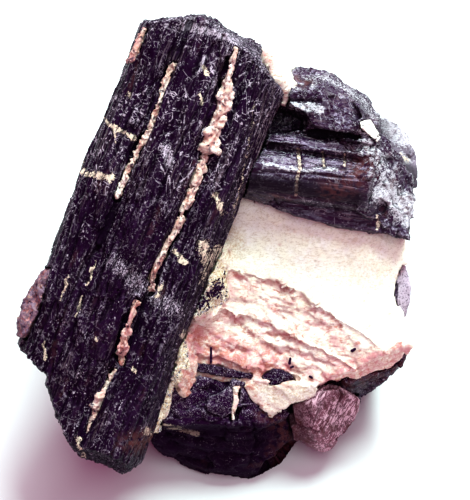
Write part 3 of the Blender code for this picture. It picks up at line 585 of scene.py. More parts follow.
TOP_EDGE = [(-12.0, 45.6), (-7.0, 44.4), (-2.0, 42.6), (2.6, 38.6), (5.4, 36.4), (8.6, 32.8)]
DUSTY = [
    ([(-13.8, 20.6), (-12.8, 17.2)], 3.0),
    ([(-10.0, 45.0), (-5.0, 43.4)], 3.0),
    ([(-24.4, -2.4), (-20.0, -6.4), (-15.6, -9.4), (-11.0, -12.4)], 5.8),
    ([(-7.0, 25.6), (-5.6, 22.0)], 1.6),
    ([(-4.0, 43.6), (0.6, 41.6)], 2.6),
    ([(-6.0, 38.4), (-7.4, 35.4)], 1.8),
    ([(4.6, -11.0), (0.6, -13.0)], 1.4),
]
CREAM = [
    ([(-26.4, 26.4), (-24.6, 24.6), (-20.2, 22.4)], 1.2),
    ([(-24.4, 24.8), (-23.6, 21.6)], 0.7),
    ([(-31.4, 16.2), (-29.6, 15.2), (-24.6, 14.4)], 1.5),
    ([(-30.6, 17.6), (-30.2, 15.4)], 1.0),
    ([(-6.4, 36.8), (-5.4, 35.2)], 1.1),
    ([(-7.2, 31.0), (-6.6, 29.4)], 1.1),
    ([(-3.8, 11.0), (-2.6, 7.6)], 1.6),
    ([(-12.0, -0.4), (-10.0, -2.4)], 1.2),
    ([(-14.0, -0.6), (-17.0, -6.0)], 1.0),
    ([(-21.4, 31.4), (-21.2, 30.6)], 0.9),
    ([(-30.4, 20.4), (-31.6, 16.8)], 1.0),
    ([(-6.4, 0.8), (-5.0, -2.6), (-5.6, -6.4)], 3.0),
    ([(-3.4, 0.2), (-3.4, -3.6)], 2.0),
    ([(-10.2, -16.6), (-9.2, -22.6)], 1.7),
    ([(-20.4, -23.6), (-20.2, -24.4)], 0.8),
    ([(-28.0, -17.2), (-27.8, -18.0)], 0.8),
    ([(-33.4, -5.0), (-34.8, -10.0)], 0.6),
    ([(-30.8, -9.0), (-31.6, -13.4)], 0.6),
    ([(-27.8, -1.4), (-29.6, -7.0)], 0.5),
    ([(-38.4, -18.8), (-37.8, -22.0)], 0.7),
    ([(-14.6, -7.0), (-15.8, -9.2)], 1.1),
    ([(-31.4, -37.8), (-30.4, -41.2)], 1.2),
    ([(-17.6, -36.0), (-15.2, -39.8)], 1.5),
]
GROOVES = [
    ([(-1.4, 38.0), (-2.9, 33.0), (-5.3, 26.0), (-7.7, 19.0)], 1.3, 1.0),
    ([(-15.0, 34.0), (-17.0, 27.0)], 1.0, 0.4),
    ([(-22.0, 10.0), (-28.0, -8.0)], 0.9, 0.5),
    ([(-13.0, 2.0), (-17.6, -12.0)], 0.9, 0.5),
    ([(-22.0, -14.0), (-25.4, -26.0)], 0.9, 0.5),
]
RIGHT_LINE = [(3.8, 30.0), (3.2, 24.0), (1.4, 14.0), (-0.6, 6.0)]


def main_relief(points, normals):
    """Bundled rods and grooves along the crystal, chipped and broken across."""
    q = within(points, MAIN_FRAME)
    along = q[:, 2]
    bend = np.stack([wave(q / (13, 13, 26), 1), wave(q / (13, 13, 26), 2), 0 * along], 1)
    bundle = q + bend * 1.1
    broad = rods(bundle / np.array((3.6, 3.6, 30.0)), 3)
    middle = rods(bundle / np.array((1.5, 1.5, 18.0)), 4)
    fine = rods(bundle / np.array((0.62, 0.62, 12.0)), 5)
    broken = step_up(wave(q / 7.0, 6), -0.25, 0.35)
    ends = step_up(along, 33, 40) + step_up(-along, 40, 46)
    broken = np.clip(broken + ends, 0, 1)
    chips = facets((q + bend) / np.array((2.2, 2.2, 4.4)), 7) * 0.32
    chips += facets(q / np.array((0.9, 0.9, 2.2)), 8) * 0.10
    out = 0.55 * broad + (0.42 - 0.12 * broken) * middle + 0.24 * fine
    out += chips * (0.15 + 0.55 * broken) + 0.25 * waves(q / np.array((5.0, 5.0, 9.0)), 3, 9)
    xy = seen(within(points, BED))
    for path, reach, depth in GROOVES:
        out -= depth * near_path(xy, path, reach)
    return out + 0.04 * wave(q / 0.5, 12)


def dress_main(look):
    stone = Stone("main_crystal").cut(main_relief)
    points, normals, bed, xy, hollow = stone.survey()
    xy = frayed(xy, 0.7, 36)
    front = step_up(facing(normals), 0.1, 0.5)
    # Painted shade: hollows, undersides and the side faces on the crystal's right, from its middle down, are
    # darkened through the low mark.
    shaded_flank = (1 - step_up(facing(normals), 0.3, 0.75)) * (1 - step_up(xy[:, 1], -2.0, 8.0))
    shaded_flank *= step_up(xy[:, 0], -12, -9)
    stone.mark("low", most(step_up(hollow, 0.02, 0.14), underside_shade(normals), 0.9 * shaded_flank))
    crush = near_path(xy, TOP_EDGE, 3.2) * 0.8
    stone.mark("edge", step_up(-hollow, 0.06, 0.2) * step_up(wave(bed / 6.0, 31), -0.3, 0.5)
               + crush * 0.8)
    dust = crush * 0.55
    for path, reach in DUSTY:
        dust = np.maximum(dust, near_path(xy, path, reach) * front * (0.84 if reach < 5 else 0.7))
    # Partly painted highlight: pale dust and pale streaks on the crystal's right side, which faces the light, over
    # its own pale striations.
    right = near_path(xy, [(8.0, 30.0), (5.4, 22.0), (2.6, 12.0)], 4.6)
    stone.mark("dust", np.maximum(dust, right * 0.42))
    q = within(points, MAIN_FRAME)
    rust = step_up(wave(q / np.array((2.5, 2.5, 9.0)), 33), 0.35, 0.7) * 0.35
    rust += near_path(xy, [(-20.4, -38.6), (-15.6, -37.4), (-14.6, -42.6)], 3.6)
    stone.mark("rust", rust)
    cream = near_path(xy, RIGHT_LINE, 0.8) * 0.62
    for path, reach in CREAM:
        cream = np.maximum(cream, near_path(xy, path, reach) * front)
    stone.mark("cream", cream)
    hair = 0.25 + 0.75 * step_up(bed[:, 1], 6.0, 15.0) * step_up(wave(bed / 7.0, 35), -0.5, 0.3)
    stone.mark("hair", hair)
    stone.mark("streak", np.maximum(right, step_up(wave(q / np.array((3, 3, 12.0)), 34), 0.1, 0.6) * 0.45))
    finish = tourmaline_finish("black_tourmaline_stone", MAIN_FRAME, look, look.black, look.dust)
    return stone.finish(finish, "black_tourmaline")


# --- the rear crystals ---

RIB_CRACKS = [
    ([(12.6, 20.2), (13.0, 16.4), (12.4, 14.4), (12.2, 11.0)], 0.75),
    ([(17.5, 19.6), (17.8, 16.6)], 0.5),
    ([(22.0, 19.2), (21.9, 16.8)], 0.5),
]
LUMP_RECESS = [(11.0, 34.0), (14.4, 33.6)]
LUMP_FACET = [(11.4, 28.6), (14.0, 28.8), (16.8, 28.2)]
LUMP_DARK = [(18.6, 30.6), (21.6, 29.8), (24.2, 26.8)]
LUMP_RIM = [(18.0, 34.6), (22.0, 32.4), (26.0, 29.4), (28.4, 26.4)]
RIB_STAIN = [(19.4, 12.4), (24.0, 14.0), (26.0, 17.0)]
RIB_SCRATCHES = [(5.6, 17.4), (10.0, 16.4), (14.2, 15.8), (17.0, 16.4), (20.4, 16.0)]
RIB_GROOVES = [
    ([(8.6, 30.0), (17.0, 29.8)], 0.7, 0.6),
    ([(15.2, 23.4), (24.4, 22.8)], 1.1, 1.1),
    ([(7.0, 20.9), (15.0, 20.8), (25.0, 20.2)], 0.8, 0.8),
    ([(16.6, 16.9), (24.0, 16.5)], 0.45, 0.4),
    ([(5.6, 15.6), (11.0, 15.2), (25.0, 14.4)], 0.6, 0.35),
    ([(4.0, 11.6), (13.0, 10.6), (24.0, 8.8)], 0.9, 0.6),
]
BROKEN_END = [(26.0, 22.0), (29.0, 17.0), (31.0, 12.0), (33.0, 8.0)]
LOW_FACE = [(3.6, 13.4), (13.0, 12.6), (24.0, 10.4)]
LEDGE_TOP = [(29.6, 11.4), (34.6, 9.0), (34.8, 6.6)]
LEDGE_BAND = [(16.0, 6.4), (20.4, 5.8), (28.0, 4.4), (34.2, 2.8)]
LEDGE_VEIN = [(28.4, 6.6), (28.6, 4.0)]


def rear_relief(points, normals):
    """Ribs with fine grooves along them, breaking up into chips at the far end and on the lump."""
    q = within(points, REAR_FRAME)
    bed = within(points, BED)
    xy = seen(bed)
    bend = np.stack([wave(q / (9, 9, 20), 41), wave(q / (9, 9, 20), 42), 0 * q[:, 0]], 1)
    bundle = q + bend * 0.5
    ribbed = 0.20 * rods(bundle / np.array((1.5, 1.5, 14.0)), 43)
    ribbed += 0.14 * rods(bundle / np.array((0.6, 0.6, 6.0)), 44)
    broken = step_up(bed[:, 0], 24.0, 27.5) + step_up(bed[:, 1], 22.5, 25.0)
    broken += step_up(wave(q / 5.0, 45), 0.15, 0.5) * 0.6
    broken = np.clip(broken, 0, 1)
    lump = step_up(bed[:, 1], 22.5, 25.0)
    chips = facets(q / np.array((3.2, 2.6, 3.2)), 46) * (0.6 - 0.35 * lump) + facets(q / 0.8, 47) * 0.13
    out = ribbed * (1 - 0.7 * broken) + chips * (0.08 + 0.92 * broken)
    out += 0.2 * waves(q / 4.0, 2, 48)
    for crack, reach in RIB_CRACKS:
        out -= 0.35 * near_path(xy, crack, reach)
    for path, reach, depth in RIB_GROOVES:
        out -= depth * near_path(xy, path, reach)
    out *= 1 - 0.7 * near_path(xy, LUMP_DARK, 3.0)
    out -= 0.9 * near_path(xy, LUMP_RECESS, 1.2)
    return out


def dress_rear(look):
    stone = Stone("rear_crystal").cut(rear_relief)
    _, normals, bed, xy, hollow = stone.survey()
    front = step_up(facing(normals), 0.0, 0.4)
    # Painted shade: the ribs' low face, the hollows and the undersides are darkened through the low mark.
    shade = near_path(xy, LOW_FACE, 3.4) * 1.2
    stone.mark("low", most(step_up(hollow, 0.03, 0.16), shade, underside_shade(normals)))
    stone.mark("edge", step_up(-hollow, 0.05, 0.16) * 0.8)
    xy = frayed(xy, 0.5, 49)
    end = near_path(xy, BROKEN_END, 7.0)
    behind = 1 - step_up(facing(normals), -0.6, -0.2)
    dust = end * (0.60 + 0.34 * step_up(wave(bed / 1.0, 51), -0.3, 0.4)) * (1 - 0.6 * behind)
    # Partly painted highlight: the top of the rear group is paler where its upturned faces catch the light, with its
    # own speckle of dust.
    top_dust_and_highlight = step_up(bed[:, 1], 28.0, 31.0) * front
    top_dust_and_highlight *= 0.50 + 0.2 * step_up(wave(bed / 2.5, 52), -0.1, 0.5)
    lump = brushed(xy, (LUMP_RIM, 2.6, 0.74), (LUMP_FACET, 2.0, 1.25), (RIB_SCRATCHES, 1.1, 0.9)) * front
    dust = most(dust, top_dust_and_highlight, lump, brushed(xy, (LEDGE_TOP, 4.2, 1.5), ([(14.0, 9.6), (22.0, 8.6)], 1.8, 0.6)))
    # Painted shade: the dark pocket by the lump and the ledge's front band are kept free of dust so that they stay
    # dark.
    dark = brushed(xy, (LUMP_DARK, 2.8, 1), (LEDGE_BAND, 1.9, 1))
    seen_side = 0.4 + 0.6 * step_up(facing(normals), 0.05, 0.4)
    stone.mark("dust", dust * (1 - step_up(dark, 0.2, 0.6)) * seen_side)
    stone.mark("streak", step_up(wave(bed / 4.0, 53), -0.2, 0.4) * 0.5)
    cracks = brushed(seen(bed), *((crack, reach * 1.1, 0.95) for crack, reach in RIB_CRACKS))
    stone.mark("cream", most(near_path(xy, LEDGE_VEIN, 0.9), cracks) * front)
    stone.mark("hair", 0.45)
    rust = brushed(xy, (RIB_STAIN, 4.2, 1), (LUMP_RECESS, 1.7, 1), ([(7.0, 10.8), (11.6, 10.4)], 0.8, 1)) * front
    stone.mark("rust", most(rust, end * step_up(wave(bed / 1.8, 54), 0.1, 0.5) * 0.6))
    grey = tourmaline_finish("grey_tourmaline_stone", REAR_FRAME, look, look.grey, look.grey_dust, flecks=0.8,
                             gloss=0.38, shine=(0.95, 0.70, 1.0))
    stone.finish(grey, "grey_tourmaline")

    side = Stone("side_crystal", 0.12).cut(side_relief)
    _, normals, bed, xy, hollow = side.survey()
    # Painted shade: the side crystal's lower part, its hollows and undersides are darkened through the low mark.
    lower = 1 - step_up(xy[:, 1] + 0.4 * (xy[:, 0] - 32), 17.6, 19.6)
    side.mark("low", most(step_up(hollow, 0.03, 0.16), lower, underside_shade(normals)))
    side.mark("edge", step_up(-hollow, 0.05, 0.16) * 0.8)
    fill = near_path(xy, [(33.2, 19.0), (34.6, 17.8)], 1.3) * 1.5
    seen_side = 0.4 + 0.6 * step_up(facing(normals), 0.05, 0.4)
    side.mark("dust", np.maximum(fill, near_path(xy, [(31.0, 25.0), (34.0, 22.4)], 4.6) * 1.1) * seen_side)
    side.mark("streak", step_up(wave(bed / 4.0, 57), -0.2, 0.4) * 0.6)
    side.mark("hair", 0.5)
    side.mark("cream", fill * 0.5)
    side.mark("rust", near_path(xy, [(31.6, 15.0), (32.6, 13.6)], 1.6))
    ash = tourmaline_finish("side_tourmaline_stone", REAR_FRAME, look, look.ash, look.grey_dust, gloss=0.4,
                            shine=(0.92, 0.72, 1.0))
    side.finish(ash, "grey_tourmaline")

    chip = Stone("white_chip", 0.1).cut(chip_relief)
    dress_pale(chip, look, look.white, "white_feldspar", pink=0.05)


def chip_relief(points, normals):
    return 0.10 * facets(within(points, BED) / np.array((1.6, 0.8, 1.6)), 58)


def side_relief(points, normals):
    q = within(points, BED)
    out = facets(q / np.array((3.4, 4.0, 3.4)), 55) * 0.4 + facets(q / 0.9, 56) * 0.05
    return out + 0.1 * waves(q / 4.0, 2, 59)


def facing(normals):
    """How far each normal faces out of the bed, from -1 to 1."""
    return normals @ np.array(BED.to_3x3().col[2])


def underside_shade(normals):
    """Painted shade on undersides: 1 where the stone faces the ground, 0 where it faces up."""
    return step_up(-normals[:, 2], -0.15, 0.4)


# --- the lower crystals ---


LOWER_CUTS = [
    ([(7.6, -44.6), (11.6, -41.0)], 3.4, 2.6),
    ([(6.4, -45.0), (6.2, -42.6)], 0.8, 0.8),
    ([(-13.0, -38.6), (-4.0, -40.6), (5.0, -41.6)], 0.9, 0.6),
    ([(-13.8, -36.6), (-8.0, -37.8), (-2.0, -38.0)], 0.6, 0.5),
    ([(3.4, -33.8), (4.4, -38.6), (3.0, -43.0)], 0.8, 0.6),
]
LOWER_RUST = [
    ([(6.0, -32.6), (9.4, -35.0), (10.6, -38.4), (9.0, -42.0)], 3.4, 1),
    ([(13.0, -27.4), (20.0, -27.0), (30.0, -24.0), (34.6, -21.4)], 3.8, 1),
]


def chipped(size, depth, seed):
    """Relief of granular, chipped stone: two sizes of facet and a slow swell."""
    def relief(points, normals):
        q = within(points, BED)
        out = depth * facets(q / size, seed) + 0.5 * depth * facets(q / (size * 0.42), seed + 1)
        return out + 0.6 * depth * waves(q / (size * 2.6), 3, seed + 2)
    return relief


def lower_relief(points, normals):
    """Broken faces of several sizes, with a granular top and a step beside the prong."""
    q = within(points, BED)
    xy = seen(q)
    bent = q + 0.8 * np.stack([wave(q / 4.0, 61), wave(q / 4.0, 62), wave(q / 4.0, 63)], 1)
    out = 0.6 * facets(bent / np.array((6.5, 5.0, 6.0)), 61) + 0.22 * facets(bent / np.array((2.6, 1.8, 2.4)), 62)
    out += 0.06 * facets(q / 0.9, 63) + 0.06 * rods(bent / np.array((6.0, 0.8, 2.0)), 66)
    out *= 1 - 0.85 * near_path(xy, [(33.6, -2.0), (34.4, -8.0), (34.0, -14.0)], 3.4)
    for path, reach, depth in LOWER_CUTS:
        out -= depth * near_path(xy, path, reach)
    return out


def prong_fibres(points):
    """Places in the prong with its bent fibres made straight: across, along and front."""
    q = within(points, BED)
    bend = np.stack([wave(q / (5, 5, 5), 71), wave(q / (5, 5, 5), 72), wave(q / (5, 5, 5), 73)], 1)
    q = q + bend * 1.3
    lean = math.radians(-28)
    across = q[:, 0] * math.cos(lean) - q[:, 1] * math.sin(lean)
    along = q[:, 0] * math.sin(lean) + q[:, 1] * math.cos(lean)
    return np.stack([across, along, q[:, 2]], 1)


def prong_relief(points, normals):
    """Bent fibres that run down the prong."""
    fibre = prong_fibres(points)
    out = 0.6 * facets(within(points, BED) / np.array((5.4, 7.0, 5.4)), 77)
    out += 0.13 * rods(fibre / np.array((1.3, 8.0, 1.3)), 74)
    return out + 0.09 * rods(fibre / np.array((0.6, 5.0, 0.6)), 75)


def dress_lower(look):
    black = tourmaline_finish("dark_tourmaline_stone", BED, look, look.dark, look.dust, flecks=0.7, gloss=0.08)
    for node, grow, relief, seed in (
        ("lower_crystal", 0.0, lower_relief, 61),
        ("lens_crystal", 0.15, chipped(0.7, 0.16, 64), 64),
        ("chip_crystal", 0.15, chipped(0.8, 0.18, 67), 67),
    ):
        stone = Stone(node, grow).cut(relief)
        _, normals, bed, xy, hollow = stone.survey()
        front = step_up(facing(normals), 0.1, 0.5)
        # Painted light: below its top the crystal is darkened through the low mark as painted shade; its top gets
        # brighter edges and pale dust, partly pale grains and partly painted sparkle.
        top = step_up(bed[:, 1], -36.0, -33.0)
        stone.mark("low", most(step_up(hollow, 0.03, 0.16), underside_shade(normals), 0.8 - top))
        stone.mark("edge", step_up(-hollow, 0.05, 0.16) * (0.15 + 0.75 * top))
        sliver = near_path(xy, [(33.6, -3.6), (34.4, -8.0), (34.0, -12.6)], 3.0) * step_up(facing(normals), 0.0, 0.4)
        stone.mark("dust", np.maximum(sliver * 1.8, 0.52 * top * front))
        stone.mark("streak", 0.0)
        stone.mark("hair", 0.15)
        stone.mark("cream", near_path(xy, [(-14.2, -35.2), (-10.0, -36.0), (-7.6, -36.8)], 1.1) * front * 1.2)
        rust = brushed(xy, *LOWER_RUST)
        stone.mark("rust", np.maximum(rust * 0.75, step_up(wave(bed / 5.0, seed), 0.4, 0.7) * 0.3))
        stone.finish(black, "dark_tourmaline")

    prong = Stone("prong_crystal", 0.1).cut(prong_relief)
    points, normals, bed, xy, hollow = prong.survey()
    fibre = prong_fibres(points)
    xy = frayed(xy, 0.6, 76)
    # Painted shade: the prong's left face, its hollows and undersides are darkened through the low mark.
    left = 1 - step_up(xy[:, 0] + 0.10 * (xy[:, 1] + 35), 13.2, 16.6)
    prong.mark("low", most(step_up(hollow, 0.02, 0.14), left * 0.9, underside_shade(normals) * 0.7))
    prong.mark("edge", step_up(-hollow, 0.03, 0.12) * 0.6)
    strands = step_up(wave(fibre / np.array((0.6, 7.0, 0.8)), 78), -0.4, 0.4)
    prong.mark("dust", 0.44 + 0.22 * strands + 0.2 * step_up(wave(bed / 4.0, 80), -0.3, 0.3))
    prong.mark("streak", 0.5)
    prong.mark("hair", 0.6)
    prong.mark("cream", 0.0)
    prong.mark("rust", step_up(wave(fibre / np.array((1.2, 8.0, 1.4)), 79), 0.0, 0.4) * 0.7)
    brown = tourmaline_finish("brown_tourmaline_stone", PRONG_FRAME, look, look.brown, look.brown_dust,
                              crumbly=0.2, strand=(0.30, 4.0))
    prong.finish(brown, "brown_tourmaline")


# --- veins and crust ---


def dress_pale(stone, look, body, slot, pink, red=0.0):
    """Marks and finishes a small piece of feldspar."""
    _, _, bed, _, hollow = stone.survey(3)
    # Painted shade: hollows take the crack colour through the low mark.
    stone.mark("low", step_up(hollow, 0.02, 0.12))
    stone.mark("pink", pink * (0.4 + step_up(wave(bed / 1.8, 81), -0.3, 0.4)))
    stone.mark("ochre", step_up(wave(bed / 1.4, 82), 0.1, 0.5) * 0.4)
    stone.mark("red", red * (0.4 + step_up(wave(bed / 1.5, 83), 0.0, 0.5)) + step_up(hollow, 0.01, 0.08) * 0.5)
    stone.mark("crust", 0.0)
    stone.mark("dark", step_up(wave(bed / 0.9, 84), 0.22, 0.42) * 0.95)
    made = bpy.data.materials.get(slot + "_stone") or feldspar_finish(slot + "_stone", look, body, 0.6)
    return stone.finish(made, slot)


VEINS = {
    # Name: how full the vein is at each height up the bed (over 0.6 it spreads), then its pink and red.
    "long_vein": ([(-8, 0.0), (-4, 0.05), (0, 0.12), (4, 0.25), (6, 0.4), (7, 0.1), (8, 0.4), (12, 0.4), (12.6, 0.1),
                   (13.4, 0.5), (17.6, 0.65), (18.4, 0.0), (19.2, 0.1), (19.8, 1.0), (25, 0.9), (32, 0.8),
                   (33.6, 0.45), (38.4, 0.35)], 0.35, 0.12),
    "middle_vein": ([(8, 0.2), (12, 0.45), (16, 0.6), (17.4, 1.3), (21.6, 1.3), (22.2, 0.7), (23, 1.5), (24, 1.3),
                     (24.6, 0.2), (26, 0.5), (28.4, 0.35), (30, 0.2), (34, 0.3), (35, 0.8), (38, 0.7)], 1.0, 0.8),
    "foot_vein": ([(-40, 0.4), (-34, 0.5), (-31, 0.8), (-28.6, 0.85), (-27.6, 0.3), (-24, 0.3)], 0.30, 0.15),
    "short_vein": ([(-22.4, 1.1), (-21.4, 1.7), (-20, 1.5), (-16, 0.95), (-13, 0.5), (-10, 0.25), (-8, 0.15)],
                   0.25, 0.05),
    "corner_vein": ([(34, 0.4), (36, 0.8), (39, 0.6), (44, 0.5)], 1.0, 0.7),
}


def vein_relief(left):
    """Angular grains packed along a vein, with gaps where it has fallen out."""
    heights, amounts = zip(*left)

    def relief(points, normals):
        q = within(points, MAIN_FRAME)
        up = seen(within(points, BED))[:, 1]
        share = np.interp(up, heights, amounts) + 0.42 * waves(q / np.array((1.4, 1.4, 2.2)), 2, 86)
        out = 0.34 * rods(q / np.array((1.9, 1.9, 3.0)), 87) + 0.14 * facets(q / 0.8, 88)
        return out - 1.0 + 1.1 * step_up(share, 0.0, 0.4) + 1.4 * step_up(share, 0.65, 1.3)
    return relief


def crust_relief(points, normals):
    """Granular, and thinner in patches so that its outline is ragged."""
    q = within(points, BED)
    return chipped(1.5, 0.24, 90)(points, normals) - 0.9 * step_up(waves(q / 3.2, 2, 93), -0.1, 0.35)


def dress_veins(look):
    for node, (left, pink, red) in VEINS.items():
        stone = Stone(node, 0.16).cut(vein_relief(left))
        dress_pale(stone, look, look.vein, "vein_feldspar", pink, red)
    crust = Stone("left_crust", 0.1).cut(crust_relief)
    dress_pale(crust, look, look.rose, "red_feldspar", pink=0.06, red=0.12)


# --- the feldspar matrix ---

RAGGED_LINE = [(-14.0, -0.6), (-2.6, -2.4), (4.0, -4.4), (11.0, -7.0), (17.0, -11.6), (23.0, -16.0), (36.0, -23.0)]
# Each ledge: its path from left to right, how far it drops and how soon the stone climbs back below it.
LEDGES = [
    ([(-1.6, -4.1), (0.8, -4.9), (4.6, -5.7), (7.3, -6.0), (11.4, -7.1)], 1.0, 5.0),
    ([(11.4, -7.0), (11.9, -9.0), (11.4, -10.6)], 0.8, 3.0),
    ([(7.3, -10.3), (10.0, -11.4), (12.4, -11.7), (15.4, -11.4), (17.6, -11.1)], 1.2, 4.0),
    ([(17.0, -11.2), (19.0, -12.4), (21.0, -14.4), (21.6, -16.6)], 0.9, 5.0),
    ([(6.2, -16.2), (9.0, -16.8), (12.7, -16.5)], 1.1, 2.5),
    ([(-3.4, -9.6), (-1.4, -12.2), (0.8, -13.6), (3.0, -14.4)], 1.2, 3.0),
    ([(1.4, -13.8), (3.2, -16.2), (6.2, -18.7), (10.0, -20.3), (12.2, -21.4)], 0.9, 3.0),
    ([(6.8, -19.2), (12.2, -19.8), (17.6, -22.0), (20.8, -23.0)], 0.7, 2.5),
    ([(-6.0, -18.4), (-4.0, -19.8), (-0.8, -19.0), (1.9, -19.8), (3.5, -21.4)], 1.0, 2.2),
    ([(-9.0, -20.4), (-5.8, -21.6), (-2.6, -20.8)], 0.7, 1.6),
    ([(4.0, -22.4), (7.0, -23.2), (9.6, -22.4), (13.0, -24.4), (16.6, -26.0)], 0.8, 2.5),
    ([(13.0, -13.6), (15.4, -14.8), (19.0, -14.4), (22.0, -15.2)], 0.5, 3.0),
    ([(3.0, -8.0), (5.4, -9.2), (7.2, -10.2)], 0.5, 2.0),
    ([(24.6, -14.9), (26.2, -15.4), (29.0, -13.8), (30.6, -12.8), (32.7, -12.2)], 0.35, 2.0),
    ([(20.3, 1.3), (22.0, 0.0), (26.2, -0.8), (29.4, 0.8)], 0.2, 1.2),
]
# Straight ledges of the solid, and how far each one drops.
FACE_WALLS = [
    ([(-5.0, -2.2), (11.0, -7.1), (22.8, -15.0), (33.5, -22.0)], 0.75),
    ([(-6.0, -10.0), (9.0, -15.5), (19.8, -20.8), (28.5, -26.0)], 0.80),
]
LEDGE_FOOT = [(2.0, 10.3), (5.7, 9.4), (10.4, 7.8), (15.2, 5.7), (20.2, 5.1), (24.2, 3.7), (34.6, 2.0)]
# For some ledges, how strongly a thin band just under it is painted deep red as its shadow.
RED_LEDGE_SHADOWS = ((0, 0.5), (2, 0.55), (3, 0.45), (4, 0.8), (5, 0.7), (6, 0.4), (8, 1.0), (9, 0.8), (10, 0.7))
TOP_VEIN_PINK = ([(6.2, 39.4), (8.0, 34.0), (10.3, 29.7)], 2.6, 0.8)
RED_LINES = [
    ([(-9.0, -22.6), (-2.0, -22.6), (4.0, -24.0), (12.0, -26.4)], 1.5, 0.8),
    ([(-9.4, -25.0), (-3.0, -27.0), (4.0, -27.2)], 1.5, 0.9),
    ([(6.4, 39.0), (9.6, 37.0)], 1.6, 0.7),
]
OCHRE_PATCHES = [
    ([(-2.0, 5.0), (0.6, 1.0), (-1.6, -1.4)], 3.6, 0.9),
    ([(5.4, -27.4), (9.0, -29.6), (14.0, -28.0)], 3.4, 0.8),
    ([(25.0, -2.0), (29.0, -8.0), (28.0, -15.0)], 9.0, 0.30),
]
CRUST_PATCHES = [
    ([(-7.6, 0.0), (-5.0, -1.6), (-3.4, -5.0), (-3.2, -9.0), (-6.0, -11.0), (-8.6, -11.6)], 3.0),
    ([(-11.2, -16.8), (-10.4, -20.0), (-10.0, -23.0)], 1.6),
    ([(-11.8, -25.0), (-13.6, -29.0), (-15.2, -33.0), (-15.6, -35.8)], 2.0),
]


def feldspar_relief(points, normals):
    """Cleavage: broken blocks that step down to the lower left, over a fine broken grain."""
    q = within(points, BED)
    xy = seen(q)
    front = step_up(facing(normals), 0.15, 0.6)
    below = step_up(below_path(xy, RAGGED_LINE) + 1.4 * wave(q / (3.6, 3.6, 9.0), 101), -1.0, 1.5)
    below *= 1 - 0.8 * near_path(xy, [(23.0, -15.0), (28.0, -17.6), (33.0, -19.0)], 4.5)
    out = front * 2.7 * near_path(xy, LEDGE_FOOT, 12.0) * (1 - 0.8 * step_up(xy[:, 0], 29.0, 34.0))
    out += 1.5 * near_path(xy, [(7.0, 38.4), (8.6, 36.0), (10.4, 32.6)], 3.0)
    ragged = frayed(xy, 0.7, 103)
    whole = 0.35 + 0.65 * step_up(wave(q / np.array((2.6, 2.6, 9.0)), 102), -0.35, 0.15)
    for path, drop, reach in LEDGES:
        out -= 0.72 * drop * fallen(ragged, path, reach) * front * whole
    lean = math.radians(30)
    bent = q + 0.5 * np.stack([wave(q / 3.0, 103), wave(q / 3.0, 104), 0 * below], 1)
    along = bent[:, 0] * math.cos(lean) - bent[:, 1] * math.sin(lean)
    down = -bent[:, 0] * math.sin(lean) - bent[:, 1] * math.cos(lean)
    for length, width, depth, seed, everywhere in ((5.6, 4.0, 0.36, 105, 0), (2.0, 1.3, 0.16, 106, 0.2),
                                                   (0.9, 0.6, 0.10, 107, 0.5)):
        place = np.stack([along / length, down / width, q[:, 2] / length], 1)
        _, number, away = cells(place, seed)
        block = away[:, 1] * 0.7 + away[:, 0] * (SPOTS[number, 0] - 0.5) + 0.6 * (SPOTS[number, 1] - 0.5)
        out += depth * block * (everywhere + (1 - everywhere) * below) * front
    out += (1 - front) * (facets(q / 5.0, 108) * 0.7 + facets(q / 1.8, 109) * 0.3)
    out += 0.12 * waves(q / 5.0, 3, 110) + 0.05 * wave(q / 0.45, 111)
    crust = crust_mask(xy) * front
    _, number, away = cells(q / 0.55, 112)
    return out + crust * (0.3 * (0.5 - (away * away).sum(1)) + 0.3 * (SPOTS[number, 2] - 0.5))


def filled_walls(q, face):
    """How far to lift each place so that most of the straight ledges go, and broken ones can take over."""
    xy = seen(q)
    lift = np.zeros(len(q), np.float32)
    for i, (path, drop) in enumerate(FACE_WALLS):
        under = below_path(xy, path)
        patch = np.maximum(step_up(wave(q / 4.0, 121 + i), -0.15, 0.2), step_up(xy[:, 0], 15 - 7 * i, 20 - 7 * i))
        lift += drop * patch * step_up(under, -0.2, 0.5) * (1 - step_up(under, 1.5, 7.5))
    return lift * step_up(face, -0.3, 0.0)


def crust_mask(xy):
    """Where the grains of the crust lie."""
    worn = 0.7 * wave(np.stack([xy[:, 0] / 1.2, xy[:, 1] / 1.2, 0 * xy[:, 0]], 1), 111)
    mask = np.zeros(len(xy))
    for path, reach in CRUST_PATCHES:
        mask = np.maximum(mask, step_up(near_path(xy, path, reach) + worn * 0.5, 0.15, 0.4))
    return mask


